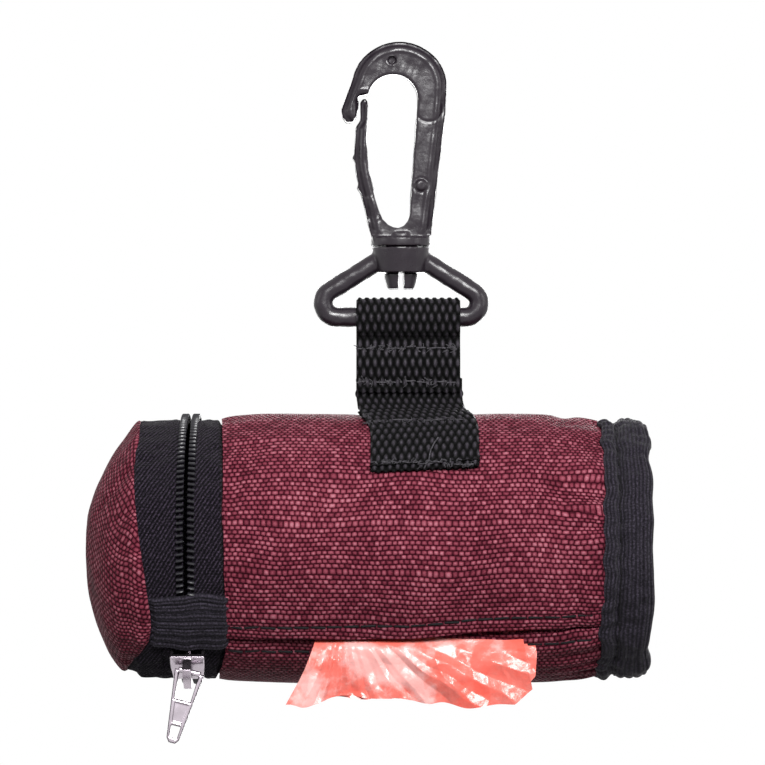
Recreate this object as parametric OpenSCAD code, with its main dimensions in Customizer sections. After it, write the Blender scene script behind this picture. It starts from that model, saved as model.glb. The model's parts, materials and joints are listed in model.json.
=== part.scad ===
// Soft dog poop bag dispenser: a round zipped fabric pouch for one roll of bags,
// hung by a webbing loop from a moulded swivel snap hook.
// Millimetres. +X to the right along the pouch, -Y to the front, +Z up.
// The origin is the centre of the hook's crown, where the object hangs.

/* [Snap hook] */
// Inside radius of the crown, which rests on the ring or loop that the hook is clipped to
crown_in_r = 4.6; // [4.2:0.1:5]
// Outside radius of the crown
crown_out_r = 8.7; // [8.4:0.1:9.2]
// Thickness of the hook, front to back
hook_t = 5.5; // [4.5:0.1:7]
// Width of the spine at the crown
spine_top_w = 5; // [4.4:0.1:5.4]
// Width of the spine at its foot
spine_foot_w = 4.2; // [3.8:0.1:4.6]
// Crown centre to the underside of the loop
hook_l = 25.2; // [24.4:0.1:28]
// Thickness of the flexing gate, front to back
gate_t = 4.6; // [3.6:0.1:5.2]
// Width of the gate at half its length
gate_w = 2.2; // [1.8:0.1:2.6]
// Radius of the gate's root, which stands for its flexing neck
gate_root_r = 1.35; // [1.1:0.05:1.4]
// Gap round the gate
gate_gap = 0.2; // [0.15:0.05:0.3]

/* [Swivel] */
// Radius of the swivel pin
pin_r = 2.6; // [2.2:0.1:2.9]
// Running clearance between the pin and the collar
pin_gap = 0.08; // [0.04:0.01:0.1]
// Radius of the flange above the collar
flange_r = 5.5; // [5:0.1:6]
// Height of that flange
flange_h = 1.9; // [1.4:0.1:2.4]
// How far the split end of the pin stands out beyond its shank, so that it snaps in
snap_lip = 0.5; // [0.3:0.1:0.6]
// Length of the split end below the collar
prong_l = 2.8; // [2.2:0.1:3]
// Width of the split
split_w = 1; // [0.6:0.1:1.4]
// End play of the swivel
swivel_play = 0.2; // [0.1:0.05:0.4]
// Radius of the collar at its top
collar_r = 5.4; // [5:0.1:6]
// Height of the collar
collar_h = 4.7; // [4.2:0.1:5.4]

/* [Ring] */
// Diameter of the ring's rod
rod_d = 3.6; // [3.2:0.1:3.8]
// Overall width of the ring
ring_w = 32.4; // [31:0.1:35]
// Radius of the ring's lower corners, to the middle of the rod
bend_r = 2.6; // [2.4:0.1:3]
// Underside of the collar to the middle of the bar
ring_drop = 8.2; // [7.8:0.1:9]

/* [Webbing] */
// Width of the webbing
web_w = 20; // [17:0.5:21]
// Thickness of the webbing
web_t = 1.7; // [1.3:0.1:1.9]
// Slack of the webbing round the bar
eye_gap = 0.25; // [0.15:0.05:0.4]
// Middle of the bar to the fold above the pouch
strap_l = 14.7; // [13.5:0.1:18]
// Middle of the bar to the end of the webbing's short front leg
front_leg_l = 13; // [11:0.1:13.2]
// Gap at that fold
fold_gap = 0.3; // [0.2:0.05:0.5]
// Angle from the top of the pouch down to the lower edge of the sewn patch
patch_a = 58; // [50:1:66]
// How far the patch is sewn to the right of the loop's middle
patch_shift = 2.8; // [0:0.1:3.2]

/* [Pouch] */
// Radial room between a full roll and the outside of the pouch at its widest
roll_room = 7.7; // [7:0.1:9]
// How much smaller the pouch's radius is where the zip tape joins it
zip_taper = 1; // [0.6:0.1:1.4]
// How much smaller the panel's radius is inside the bound rim
rim_taper = 2; // [1.6:0.1:2.4]
// Length of the sewn panel, rim included
panel_l = 75.7; // [73:0.1:84]
// Thickness of the coated fabric
fabric_t = 0.9; // [0.6:0.05:1]
// Width of the dispensing slit, across the film
slit_w = 2.6; // [2.2:0.1:3.4]
// Angle below the front at which the film comes out
slit_a = 39.3; // [37:0.1:41]
// Length of the rim that the binding covers
rim_l = 8.6; // [7.5:0.1:10]
// How deep the end disc sits inside the rim
disc_depth = 6; // [5:0.1:7]
// Thickness of the binding tape
binding_t = 0.7; // [0.5:0.05:0.9]

/* [Zip] */
// Width of the zip tape that shows on the pouch side
tape_pouch_w = 7.6; // [7:0.1:9]
// Width of the zip tape that shows on the cap side
tape_cap_w = 9; // [8.4:0.1:10]
// Thickness of the tape
tape_t = 0.7; // [0.5:0.05:0.8]
// How far the tape lies below the panel's outside
tape_step = 0.3; // [0.1:0.05:0.4]
// Width of one row of the coil
coil_w = 1.5; // [1.2:0.1:1.7]
// Height of the coil above the tape
coil_h = 1.1; // [0.9:0.1:1.3]
// Angle below the front at which the elastic tab starts
tab_a0 = 18.7; // [14:0.1:20]
// Width of the elastic tab, as an angle round the pouch
tab_a = 26.7; // [24:0.1:28]
// Thickness of the elastic tab
tab_t = 1.3; // [1:0.1:1.5]
// Depth of the domed cap
dome_h = 9.6; // [8:0.1:12]

/* [Slider and puller] */
// Width of the slider
slider_w = 6.2; // [6:0.1:6.6]
// Length of the slider, as an angle round the zip
slider_a = 17; // [15:0.5:18]
// Thickness of the slider's blades
blade_t = 0.8; // [0.6:0.05:0.9]
// Length of the puller, from its eye to its tip
puller_l = 13.2; // [12:0.1:16]
// Thickness of the puller
puller_t = 1; // [0.8:0.1:1.1]
// Width of the puller at its eye
eye_w = 5.4; // [5:0.1:5.8]
// How far the puller hangs off the vertical
puller_tilt = 14; // [5:1:15]

/* [Roll of bags] */
// Radius of the full roll
roll_r = 17.5; // [15:0.1:17.9]
// Length of the roll
roll_l = 60; // [54:0.5:61]
// Outside radius of the cardboard core
core_r = 8; // [6:0.1:10]
// Wall of the cardboard core
core_t = 0.8; // [0.6:0.1:1.2]
// Thickness of the film tongue, several layers together
film_t = 1; // [0.6:0.1:1.2]
// Width of the film where it passes the slit
film_w = 42; // [34:0.5:44]
// Length of film that hangs out of the slit
tail_l = 11; // [8:0.5:14]

/* [Hidden] */
$fn = 72;

// Clearances between sewn or seated pieces
seam_gap = 0.1;     // edge to edge along a seam
seat_gap = 0.1;     // sewn face on face
rest_gap = 0.3;     // what lies loose on what carries it
sweep = 0.02;       // overlap that joins two shapes of one piece

// Radii that follow from the roll
pouch_r = roll_r + roll_room;              // largest radius of the pouch
zip_end_r = pouch_r - zip_taper;           // where the zip tape joins it
rim_r = pouch_r - rim_taper;               // inside the bound rim
tape_r = zip_end_r - tape_step;            // outside of the zip tape

// Places across the object
swivel_x = 1.5;                            // swivel axis, a little right of the crown's centre
strap_x = 2.4;                             // middle of the webbing loop
seam_x = -29.5;                            // seam between zip tape and pouch panel
panel_x0 = seam_x;
panel_x1 = seam_x + panel_l;
rim_x = panel_x1 - rim_l;                  // where the binding starts
chain_x = seam_x - seam_gap - tape_pouch_w; // middle of the zip
dome_x = chain_x - tape_cap_w;             // seam between cap-side tape and dome
roll_x = 2;                                // middle of the roll
film_x = 4.2;                              // middle of the film

// Places down the object
flange_z = -hook_l - flange_h;             // underside of the flange
collar_z = flange_z - swivel_play;         // top of the collar
collar_mid_z = collar_z - collar_h / 2;
collar_low_z = collar_z - collar_h;
bar_z = collar_low_z - ring_drop;          // middle of the ring's bar
fold_z = bar_z - strap_l;                  // axis of the fold above the pouch
pouch_z = fold_z - web_t / 2 - fold_gap - web_t - seat_gap - pouch_r;

// Hook outline
crown_dx = 1.2;                            // the outer arc is centred off the inner one
crown_dz = 2.4;
gate_x = -3.6;                             // centre of the gate's root
gate_z = 4 - hook_l;
slot_r = 2.1;                              // foot of the hook's opening
slot_x = 1;
slot_z = 4.6 - hook_l;
rod_r = rod_d / 2;
arm_in = collar_r * 0.74;                  // where the arm's middle meets the collar

// Zip radii, from the inside out
tape_in_r = tape_r - tape_t;
coil_r0 = tape_r + seat_gap / 2;
coil_r1 = coil_r0 + coil_h;
divider_w = 0.5;                           // slider's divider, between the two rows
row_gap = divider_w + 0.2;                 // the rows stand apart by the divider
blade_top_r = coil_r1 + 0.2;               // underside of the slider's outer blade
slider_r = blade_top_r + blade_t;
blade_low_r = tape_in_r - 0.2;             // outside of the slider's inner blade
flange_in_r = tape_r + 0.25;               // lower edge of the slider's side flanges
flange_w = 0.6;
eye_r = 0.5;                               // half the thickness of the puller's eye bar
eye_in = eye_w / 2 - 0.9;                  // half the clear width of the eye
eye_bar = eye_in + 0.3;                    // half the length of the eye bar
eye_rise = eye_bar * sin(puller_tilt);     // how far the tilted eye bar dips to one side
eye_shift = 0.4;                           // the puller hangs to one side of its bridge
pivot_r = slider_r + 0.1 + eye_r + eye_rise;
bridge_w = 1.6;
bridge_a0 = 5.6;                           // reach of the bridge either side of the puller
bridge_a1 = 7;
bridge_post_a = 1.6;
bridge_in_r = pivot_r + eye_r + bridge_w / 2 * sin(puller_tilt) + 0.15;
bridge_t = 0.8;

// Zip angles, measured from the front downwards
tab_a1 = tab_a0 + tab_a;
slider_a0 = tab_a1 + 0.7;
slider_a1 = slider_a0 + slider_a;
pivot_a = slider_a0 + 6.4;
lap_a0 = tab_a0 - 0.3;                     // part of the zip that stays with the pouch
lap_a1 = slider_a1 + 1.4;
cap_fold = 4.6;                            // fold line of the cap, beside the chain
hinge_x = chain_x - cap_fold;                  // line about which the cap folds open
hinge_a = (lap_a0 + lap_a1) / 2;
hinge_r = coil_r0 + tab_t + 0.1;

// Roll and film
roll_z = pouch_z - (zip_end_r - fabric_t - rest_gap - roll_r); // its ends rest where the pouch narrows
exit_r = pouch_r - fabric_t;               // the film passes the wall's inner face here
exit_y = -exit_r * cos(slit_a);
exit_z = pouch_z - exit_r * sin(slit_a);
film_off = roll_r + rest_gap + film_t / 2; // middle of the film to the roll's axis
exit_d = norm([exit_y, exit_z - roll_z]);
exit_dir = atan2(roll_z - exit_z, -exit_y);
film_tilt = acos(film_off / exit_d) - exit_dir; // film's lean to the front, from the vertical
tongue_l = sqrt(exit_d * exit_d - film_off * film_off);
lip_up_a = acos((-exit_y + slit_w / 2 + 0.2) / (pouch_r - 2 * fabric_t));  // edge of the upper hem
lip_low_a = acos((-exit_y - slit_w / 2 - 0.2) / (pouch_r - fabric_t / 2)); // edge of the lower hem
hem_a = 9;                                 // width of a hem, as an angle
end_l = 19;                                // length of the taper at the zip
rim_end_l = 16;                            // length of the taper at the rim
wide_x0 = panel_x0 + end_l;                  // the panel is widest from here
wide_x1 = rim_x - rim_end_l;                     // to here

// Radius of the panel along its length, as [x, radius]
function panel_line() = [
    [panel_x0, zip_end_r],
    [panel_x0 + 5, zip_end_r * 0.6 + pouch_r * 0.4],
    [panel_x0 + 11, zip_end_r * 0.25 + pouch_r * 0.75],
    [wide_x0, pouch_r],
    [wide_x1, pouch_r],
    [rim_x - 8, rim_r * 0.3 + pouch_r * 0.7],
    [rim_x - 3, rim_r * 0.65 + pouch_r * 0.35],
    [rim_x, rim_r],
    [panel_x1 - binding_t - seat_gap, rim_r]
];

// A closed profile for turned(), between two depths under a line of [x, radius]
function wall(line, d0, d1) = concat(
    [for (p = line) [p[1] - d0, p[0]]],
    [for (i = [len(line) - 1 : -1 : 0]) [line[i][1] - d1, line[i][0]]]
);

// Turns a profile of [radius, x] about the pouch's axis, from angle a0 to a1.
// Angles start at the front and grow downwards, so the top is at -90.
module turned(a0 = 0, a1 = 360) {
    translate([0, 0, pouch_z])
        rotate([0, 90, 0])
        rotate([0, 0, a0 - 90])
        rotate_extrude(angle = a1 - a0)
        children();
}

// A ring band of the pouch: radii r0 to r1, along x0 to x1, over the angles a0 to a1
module band(r0, r1, x0, x1, a0 = 0, a1 = 360) {
    turned(a0, a1)
        polygon([[r0, x0], [r1, x0], [r1, x1], [r0, x1]]);
}

// Moves children from the pouch's axis to radius r at angle a, with their -Z pointing outwards
module at_angle(a, r) {
    translate([0, 0, pouch_z])
        rotate([a - 90, 0, 0])
        translate([0, 0, -r])
        children();
}

// A flat shape in X and Z, centred front to back
module upright(t) {
    rotate([90, 0, 0])
        linear_extrude(height = t, center = true)
        children();
}

// One stitch: a short length of thread along X
module stitch_x(l) {
    rotate([0, 90, 0])
        cylinder(h = l, r = thread_r, center = true);
}

thread_r = 0.25;
stitch_l = 2.3;
stitch_pitch = 3;

// ---------- snap hook ----------

module hook_plate() {
    difference() {
        union() {
            translate([crown_dx, crown_dz])
                circle(crown_out_r);
            // nose
            polygon([
                [crown_dx - crown_out_r + 1.2, 7], [-9.5, -2], [-9.3, -3.4], [-8.5, -4.3],
                [-7.4, -4.2], [-6.8, -3.2], [-6.2, 0.4], [-crown_in_r, 1.6], [0, 6]
            ]);
            // spine and foot
            polygon([
                [crown_dx + crown_out_r, crown_dz], [crown_in_r + spine_top_w, -3],
                [slot_x + slot_r + spine_foot_w + 0.3, slot_z],
                [swivel_x + flange_r, -hook_l], [swivel_x - flange_r, -hook_l],
                [gate_x - gate_root_r, gate_z - 0.6], [gate_x, gate_z],
                [slot_x, slot_z], [0, 0]
            ]);
            translate([slot_x, slot_z - 0.4])
                square([2 * slot_r + spine_foot_w, 2 * slot_r + 1], center = true);
        }
        circle(crown_in_r);
        // opening between the spine and the gate
        polygon([
            [crown_in_r, 0], [slot_x + slot_r, slot_z], [slot_x - slot_r, slot_z],
            [gate_x + 1.6, gate_z - 0.2], [gate_x, gate_z], [gate_x - 1.6, gate_z + 0.4],
            [gate_x - 5, gate_z + 1], [gate_x - 5, -6], [-6.45, -5], [-6.45, 0.6],
            [-crown_in_r, 0.9]
        ]);
        translate([slot_x, slot_z])
            circle(slot_r);
        translate([gate_x, gate_z])
            circle(gate_root_r + gate_gap);
    }
}

module hook_body() {
    color("dimgray")
    difference() {
        union() {
            upright(hook_t) hook_plate();
            translate([swivel_x, 0, flange_z])
                cylinder(h = flange_h - 0.3, r = flange_r);
            translate([swivel_x, 0, flange_z])
                cylinder(h = flange_h + 0.6, r = pin_r + 0.6);
            translate([swivel_x, 0, collar_low_z - swivel_play - 0.2])
                cylinder(h = collar_h + 2 * swivel_play + 0.4, r = pin_r);
            translate([swivel_x, 0, collar_low_z - swivel_play - prong_l])
                cylinder(h = prong_l, r1 = pin_r - 0.1, r2 = pin_r + snap_lip);
        }
        translate([swivel_x, 0, collar_low_z - prong_l])
            cube([split_w, 3 * flange_r, 2 * prong_l + 1.5], center = true);
    }
}

module hook_gate() {
    tip_x = -6.25;
    color("dimgray")
    upright(gate_t) {
        translate([gate_x, gate_z])
            circle(gate_root_r);
        polygon([
            [gate_x + gate_root_r, gate_z], [gate_x + 0.9, gate_z + 2.8],
            [gate_x, gate_z + 4.8], [gate_x - 0.9, gate_z + 8.2],
            [-4.9, -8], [-4.9, -0.4], [-5.2, 0.3], [-5.8, 0.3],
            [tip_x, -0.2], [tip_x, -3.6], [-4.9 - gate_w + 0.2, -5],
            [-4.9 - gate_w, -9.5], [gate_x - 3.3, gate_z + 8.2],
            [gate_x - 2.6, gate_z + 4.8], [gate_x - 1.9, gate_z + 2.2],
            [gate_x - gate_root_r, gate_z]
        ]);
    }
}

// ---------- swivel ring ----------

bend_x = ring_w / 2 - rod_r - bend_r;      // bend centre, from the swivel axis
bend_z = bar_z + bend_r;
arm_d = norm([bend_x - arm_in, collar_mid_z - bend_z]);
arm_l = sqrt(arm_d * arm_d - bend_r * bend_r);
arm_a = atan2(collar_mid_z - bend_z, bend_x - arm_in) - asin(bend_r / arm_d);

// One lower corner of the ring with its arm, on the left of the swivel axis
module ring_side() {
    translate([-bend_x, 0, bend_z])
        rotate([90, 0, 0])
        rotate([0, 0, 90 + arm_a])
        rotate_extrude(angle = 180 - arm_a)
        translate([bend_r, 0])
        circle(rod_r);
    translate([-bend_x, 0, bend_z])
        rotate([0, -arm_a, 0])
        translate([0, 0, bend_r])
        rotate([0, 90, 0])
        cylinder(h = arm_l, r = rod_r);
}

module swivel_ring() {
    color("dimgray")
    translate([swivel_x, 0, 0])
    difference() {
        union() {
            translate([0, 0, collar_low_z])
                cylinder(h = collar_h, r1 = collar_r - 0.8, r2 = collar_r);
            ring_side();
            mirror([1, 0, 0]) ring_side();
            translate([0, 0, bar_z])
                rotate([0, 90, 0])
                cylinder(h = 2 * bend_x, r = rod_r, center = true);
        }
        translate([0, 0, collar_low_z - 1])
            cylinder(h = collar_h + 2, r = pin_r + pin_gap);
    }
}

// ---------- webbing ----------

eye_in_r = rod_r + eye_gap;
eye_out_r = eye_in_r + web_t;
patch_r0 = pouch_r + seat_gap;
patch_r1 = patch_r0 + web_t;
patch_x = strap_x + patch_shift;
patch_a0 = -94;                            // the patch starts just behind the top
patch_a1 = patch_a - 90;
patch_row_in = 4.6;                        // its last row of stitches, up from its edge

module strap_loop() {
    throat = eye_out_r + 1.5;
    color("black")
    translate([strap_x - web_w / 2, 0, 0])
    difference() {
        union() {
            translate([0, 0, bar_z])
                rotate([0, 90, 0])
                cylinder(h = web_w, r = eye_out_r);
            rotate([90, 0, 90])
                linear_extrude(height = web_w)
                polygon([
                    [-eye_out_r * 0.8, bar_z - eye_out_r * 0.4],
                    [eye_out_r * 0.8, bar_z - eye_out_r * 0.4],
                    [web_t / 2, bar_z - throat], [web_t / 2, fold_z], [-web_t / 2, fold_z],
                    [-web_t / 2, bar_z - front_leg_l], [-web_t * 1.5, bar_z - front_leg_l],
                    [-web_t * 1.5, bar_z - throat]
                ]);
            translate([0, 0, fold_z])
                rotate([0, 90, 0])
                cylinder(h = web_w, r = web_t / 2 + 0.01);
        }
        translate([-1, 0, bar_z])
            rotate([0, 90, 0])
            cylinder(h = web_w + 2, r = eye_in_r);
    }
}

// A row of stitches across the webbing
module web_row() {
    count = floor((web_w - 1) / stitch_pitch);
    for (i = [0 : count - 1])
        translate([(i - (count - 1) / 2) * stitch_pitch, 0, 0])
            stitch_x(stitch_l);
}

loop_row_zs = [bar_z - eye_out_r - 1.9, bar_z - front_leg_l + 0.9];

module strap_loop_stitches() {
    off = thread_r + 0.02;
    color("black")
    for (z = loop_row_zs, y = [-web_t * 1.5 - off, web_t / 2 + off])
        translate([strap_x, y, z])
            web_row();
}

module strap_patch() {
    color("black")
    band(patch_r0, patch_r1, patch_x - web_w / 2, patch_x + web_w / 2, patch_a0,
        patch_a1);
}

patch_row_as = [-62, patch_a1 - patch_row_in];

module strap_patch_stitches() {
    color("black")
    for (a = patch_row_as)
        at_angle(a, patch_r1 + thread_r + 0.02)
            translate([patch_x, 0, 0])
            web_row();
}

// ---------- pouch ----------

// The film's own frame: X along the slit, -Z the way that the film is pulled
module film_frame() {
    translate([0, exit_y, exit_z])
        rotate([-film_tilt, 0, 0])
        children();
}

module pouch_panel() {
    color("maroon")
    difference() {
        turned()
            polygon(wall(panel_line(), 0, fabric_t));
        // the slit runs from the zip's seam to just inside the binding
        film_frame()
            translate([panel_x0 - 1, -slit_w / 2, -pouch_r * 0.48])
            cube([rim_x + 3 - panel_x0, slit_w, pouch_r * 0.8]);
    }
}

// The panel's edge, folded in behind a lip of the slit along the widest stretch
module hem(a) {
    band(pouch_r - 2 * fabric_t, pouch_r - fabric_t - seat_gap / 2, wide_x0, wide_x1, a, a + hem_a);
}

module upper_hem() {
    color("maroon") hem(lip_up_a - hem_a);
}

module lower_hem() {
    color("maroon") hem(lip_low_a);
}

// A row of stitches along the pouch at angle a, on the widest part of the panel
module lip_row(a) {
    first = wide_x0;
    last = wide_x1;
    count = floor((last - first) / stitch_pitch);
    for (i = [0 : count - 1])
        at_angle(a, pouch_r + thread_r + 0.02)
            translate([(first + last) / 2 + (i - (count - 1) / 2) * stitch_pitch, 0, 0])
            stitch_x(stitch_l);
}

module upper_lip_stitches() {
    color("black") lip_row(slit_a - 9);
}

module lower_lip_stitches() {
    color("black") lip_row(slit_a + 9.6);
}

// Layers of the bound rim, from the outside in
flange_out_r = rim_r - fabric_t - seat_gap;
disc_x = panel_x1 - disc_depth;

module end_disc() {
    color("maroon")
    turned()
        polygon([
            [0, disc_x], [flange_out_r, disc_x], [flange_out_r, panel_x1 - binding_t - seat_gap],
            [flange_out_r - fabric_t, panel_x1 - binding_t - seat_gap],
            [flange_out_r - fabric_t, disc_x + fabric_t], [0, disc_x + fabric_t]
        ]);
}

module end_binding() {
    out_r = rim_r + seat_gap;
    in_r = flange_out_r - fabric_t - seat_gap;
    color("black")
    turned()
        polygon([
            [out_r, rim_x], [out_r + binding_t, rim_x + 0.4], [out_r + binding_t, panel_x1 - 0.7],
            [out_r - 0.1, panel_x1], [in_r + 0.1, panel_x1], [in_r - binding_t, panel_x1 - 0.7],
            [in_r - binding_t, disc_x + 1.5], [in_r, disc_x + 1.5], [in_r, panel_x1 - binding_t],
            [out_r, panel_x1 - binding_t]
        ]);
}

module binding_stitches() {
    r = rim_r + seat_gap + binding_t + thread_r + 0.02;
    count = floor(2 * PI * r / 3.4);
    color("black")
    for (i = [0 : count - 1])
        at_angle(360 * i / count, r)
            translate([rim_x + 2.4, 0, 0])
            rotate([0, 0, 90])
            stitch_x(stitch_l);
}

// ---------- zip ----------

module zip_tape_pouch() {
    color("black")
    band(tape_in_r, tape_r, chain_x + row_gap / 2, seam_x - seam_gap);
}

// Both rows of the coil run from under the slider round to the tab's upper edge
module coil_row(side) {
    x0 = chain_x + side * row_gap / 2;
    band(coil_r0, coil_r1, min(x0, x0 + side * coil_w), max(x0, x0 + side * coil_w),
        lap_a1 + 0.4, 360 + tab_a0 - 0.7);
}

module zip_coil_pouch() {
    color("dimgray") coil_row(1);
}

module zip_coil_cap() {
    color("dimgray") coil_row(-1);
}

module zip_tape_lap() {
    color("black")
    band(tape_in_r, tape_r, hinge_x + 0.3, chain_x - row_gap / 2, lap_a0, lap_a1);
}

module zip_tab() {
    color("black")
    band(coil_r0, coil_r0 + tab_t, hinge_x + 0.3, seam_x - seam_gap, tab_a0, tab_a1);
}

module zip_tab_cap_end() {
    color("black")
    band(coil_r0, coil_r0 + tab_t, dome_x + 0.3, hinge_x - 0.15, tab_a0, tab_a1);
}

module zip_tape_cap() {
    color("black")
    difference() {
        band(tape_in_r, tape_r, dome_x, chain_x - row_gap / 2);
        // the lap stays with the pouch, so the cap's tape is cut back to the fold line there
        band(tape_in_r - 1, tape_r + 1, hinge_x - 0.15, chain_x, lap_a0 - 0.3, lap_a1 + 0.3);
    }
}

module cap_dome() {
    steps = 10;
    edge = dome_x - seam_gap;
    line = [for (i = [0 : steps]) let (u = 90 * i / steps)
        [edge - dome_h * sin(u), tape_r * cos(u)]];
    inside = [for (i = [steps : -1 : 0]) let (u = 90 * i / steps)
        [(tape_r - fabric_t) * cos(u), edge - (dome_h - fabric_t) * sin(u)]];
    color("maroon")
    turned()
        polygon(concat([for (p = line) [p[1], p[0]]], inside));
}

module zip_slider() {
    half = slider_w / 2;
    post = bridge_w / 2;
    color("silver") {
        // outer blade with its two side flanges
        turned(slider_a0, slider_a1)
            polygon([
                [slider_r, chain_x - half], [slider_r, chain_x + half],
                [flange_in_r, chain_x + half], [flange_in_r, chain_x + half - flange_w],
                [blade_top_r, chain_x + half - flange_w], [blade_top_r, chain_x - half + flange_w],
                [flange_in_r, chain_x - half + flange_w], [flange_in_r, chain_x - half]
            ]);
        // inner blade
        band(blade_low_r - blade_t, blade_low_r, chain_x - half, chain_x + half,
            slider_a0, slider_a1);
        // divider that joins the two blades at the wide end
        band(blade_low_r - sweep, blade_top_r + sweep, chain_x - divider_w / 2,
            chain_x + divider_w / 2, slider_a0, slider_a0 + 3.5);
        // bridge for the puller
        band(bridge_in_r, bridge_in_r + bridge_t, chain_x - post, chain_x + post,
            pivot_a - bridge_a0, pivot_a + bridge_a1);
        for (a = [pivot_a - bridge_a0, pivot_a + bridge_a1 - bridge_post_a])
            band(slider_r - sweep, bridge_in_r + sweep, chain_x - post, chain_x + post, a,
                a + bridge_post_a);
    }
}

module puller_window(z0, z1, w0, w1) {
    polygon([[-w0 / 2, z0], [w0 / 2, z0], [w1 / 2, z1], [-w1 / 2, z1]]);
}

module zip_puller() {
    tip_w = eye_w * 0.44;
    color("silver")
    translate([chain_x + eye_shift, -pivot_r * cos(pivot_a), pouch_z - pivot_r * sin(pivot_a)])
    rotate([0, puller_tilt, 0]) {
        upright(puller_t)
            difference() {
                polygon([
                    [-eye_w / 2, 0], [eye_w / 2, 0], [tip_w / 2, -puller_l + 0.8],
                    [tip_w / 4, -puller_l], [-tip_w / 4, -puller_l], [-tip_w / 2, -puller_l + 0.8]
                ]);
                puller_window(-0.3, -puller_l * 0.4, 2 * eye_in, eye_w * 0.55);
                puller_window(-puller_l * 0.76, -puller_l + 1.1, eye_w * 0.33, eye_w * 0.26);
            }
        rotate([0, 90, 0])
            cylinder(h = 2 * eye_bar, r = eye_r, center = true);
    }
}

// ---------- roll of bags ----------

module roll_core() {
    color("tan")
    translate([roll_x, 0, roll_z])
        rotate([0, 90, 0])
        difference() {
            cylinder(h = roll_l, r = core_r, center = true);
            cylinder(h = roll_l + 2, r = core_r - core_t, center = true);
        }
}

module bag_roll() {
    color("tomato")
    translate([roll_x, 0, roll_z])
        rotate([0, 90, 0])
        difference() {
            cylinder(h = roll_l, r = roll_r, center = true);
            cylinder(h = roll_l + 2, r = core_r + 0.05, center = true);
        }
}

module bag_tail() {
    color("tomato")
    film_frame() {
        // tongue from the roll to the slit
        translate([film_x - film_w / 2, -film_t / 2, -4])
            cube([film_w, film_t, tongue_l + 4]);
        // the crumpled end that hangs outside
        translate([film_x, 0, 0])
            upright(film_t * 1.6)
            polygon([
                [-film_w / 2, -2.5], [film_w / 2, -2.5], [film_w / 2 + 1, -tail_l + 1.5],
                [film_w / 2 - 3, -tail_l], [film_w * 0.1, -tail_l + 0.4],
                [-film_w * 0.25, -tail_l + 1.6], [-film_w / 2 - 1.5, -tail_l],
                [-film_w / 2 - 4, -tail_l + 0.6]
            ]);
    }
}

hook_body();
hook_gate();
swivel_ring();
strap_loop();
strap_loop_stitches();
strap_patch();
strap_patch_stitches();
pouch_panel();
upper_hem();
lower_hem();
upper_lip_stitches();
lower_lip_stitches();
end_disc();
end_binding();
binding_stitches();
zip_tape_pouch();
zip_coil_pouch();
zip_tape_lap();
zip_tab();
zip_slider();
zip_puller();
cap_dome();
zip_tape_cap();
zip_coil_cap();
zip_tab_cap_end();
roll_core();
bag_roll();
bag_tail();
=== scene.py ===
"""Bag pouch on a snap hook: the finished surfaces, built round the solid model."""
import json
import math

import bpy
import numpy as np
from mathutils import Matrix, Vector
from mathutils.kdtree import KDTree

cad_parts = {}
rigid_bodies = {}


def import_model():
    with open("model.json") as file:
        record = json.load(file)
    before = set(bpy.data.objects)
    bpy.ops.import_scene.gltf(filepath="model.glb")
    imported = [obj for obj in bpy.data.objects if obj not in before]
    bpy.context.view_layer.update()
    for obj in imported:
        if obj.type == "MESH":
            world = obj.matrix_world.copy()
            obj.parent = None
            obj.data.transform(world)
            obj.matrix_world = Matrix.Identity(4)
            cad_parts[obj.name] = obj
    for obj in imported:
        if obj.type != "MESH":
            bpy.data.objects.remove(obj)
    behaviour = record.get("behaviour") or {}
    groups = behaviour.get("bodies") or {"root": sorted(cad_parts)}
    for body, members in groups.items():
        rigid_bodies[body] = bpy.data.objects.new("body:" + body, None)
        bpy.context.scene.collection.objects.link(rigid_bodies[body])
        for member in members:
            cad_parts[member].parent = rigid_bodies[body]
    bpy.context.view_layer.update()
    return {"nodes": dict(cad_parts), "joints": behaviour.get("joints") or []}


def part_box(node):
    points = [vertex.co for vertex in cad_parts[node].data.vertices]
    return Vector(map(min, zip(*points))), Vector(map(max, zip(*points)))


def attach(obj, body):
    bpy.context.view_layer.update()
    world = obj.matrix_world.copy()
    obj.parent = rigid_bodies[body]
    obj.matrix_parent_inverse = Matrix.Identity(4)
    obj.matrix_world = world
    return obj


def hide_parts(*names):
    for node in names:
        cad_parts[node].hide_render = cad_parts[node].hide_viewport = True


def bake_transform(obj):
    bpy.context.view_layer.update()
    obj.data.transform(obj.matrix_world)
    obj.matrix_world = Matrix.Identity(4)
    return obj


bl_info = {
    "name": "Bag Pouch",
    "version": (1, 0, 0),
    "blender": (4, 5, 0),
    "location": "View3D > Sidebar > Bag Pouch",
    "description": "Builds a zipped bag pouch with its snap hook, webbing, zip and film",
    "category": "Add Mesh",
}

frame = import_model()
NODES = frame["nodes"]
JOINTS = {j["name"]: j for j in frame["joints"]}


# ---------- sizes taken from the solids, in millimetres ----------

def span(node, axis):
    """Low and high side of a solid along an axis, in millimetres."""
    low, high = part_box(node)
    return low[axis] * 1000, high[axis] * 1000


def middle(node, axis):
    return sum(span(node, axis)) / 2


def half_size(node, axis):
    low, high = span(node, axis)
    return (high - low) / 2


def joint_at(name):
    return [c * 1000 for c in JOINTS[name]["pos_m"]]


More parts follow.
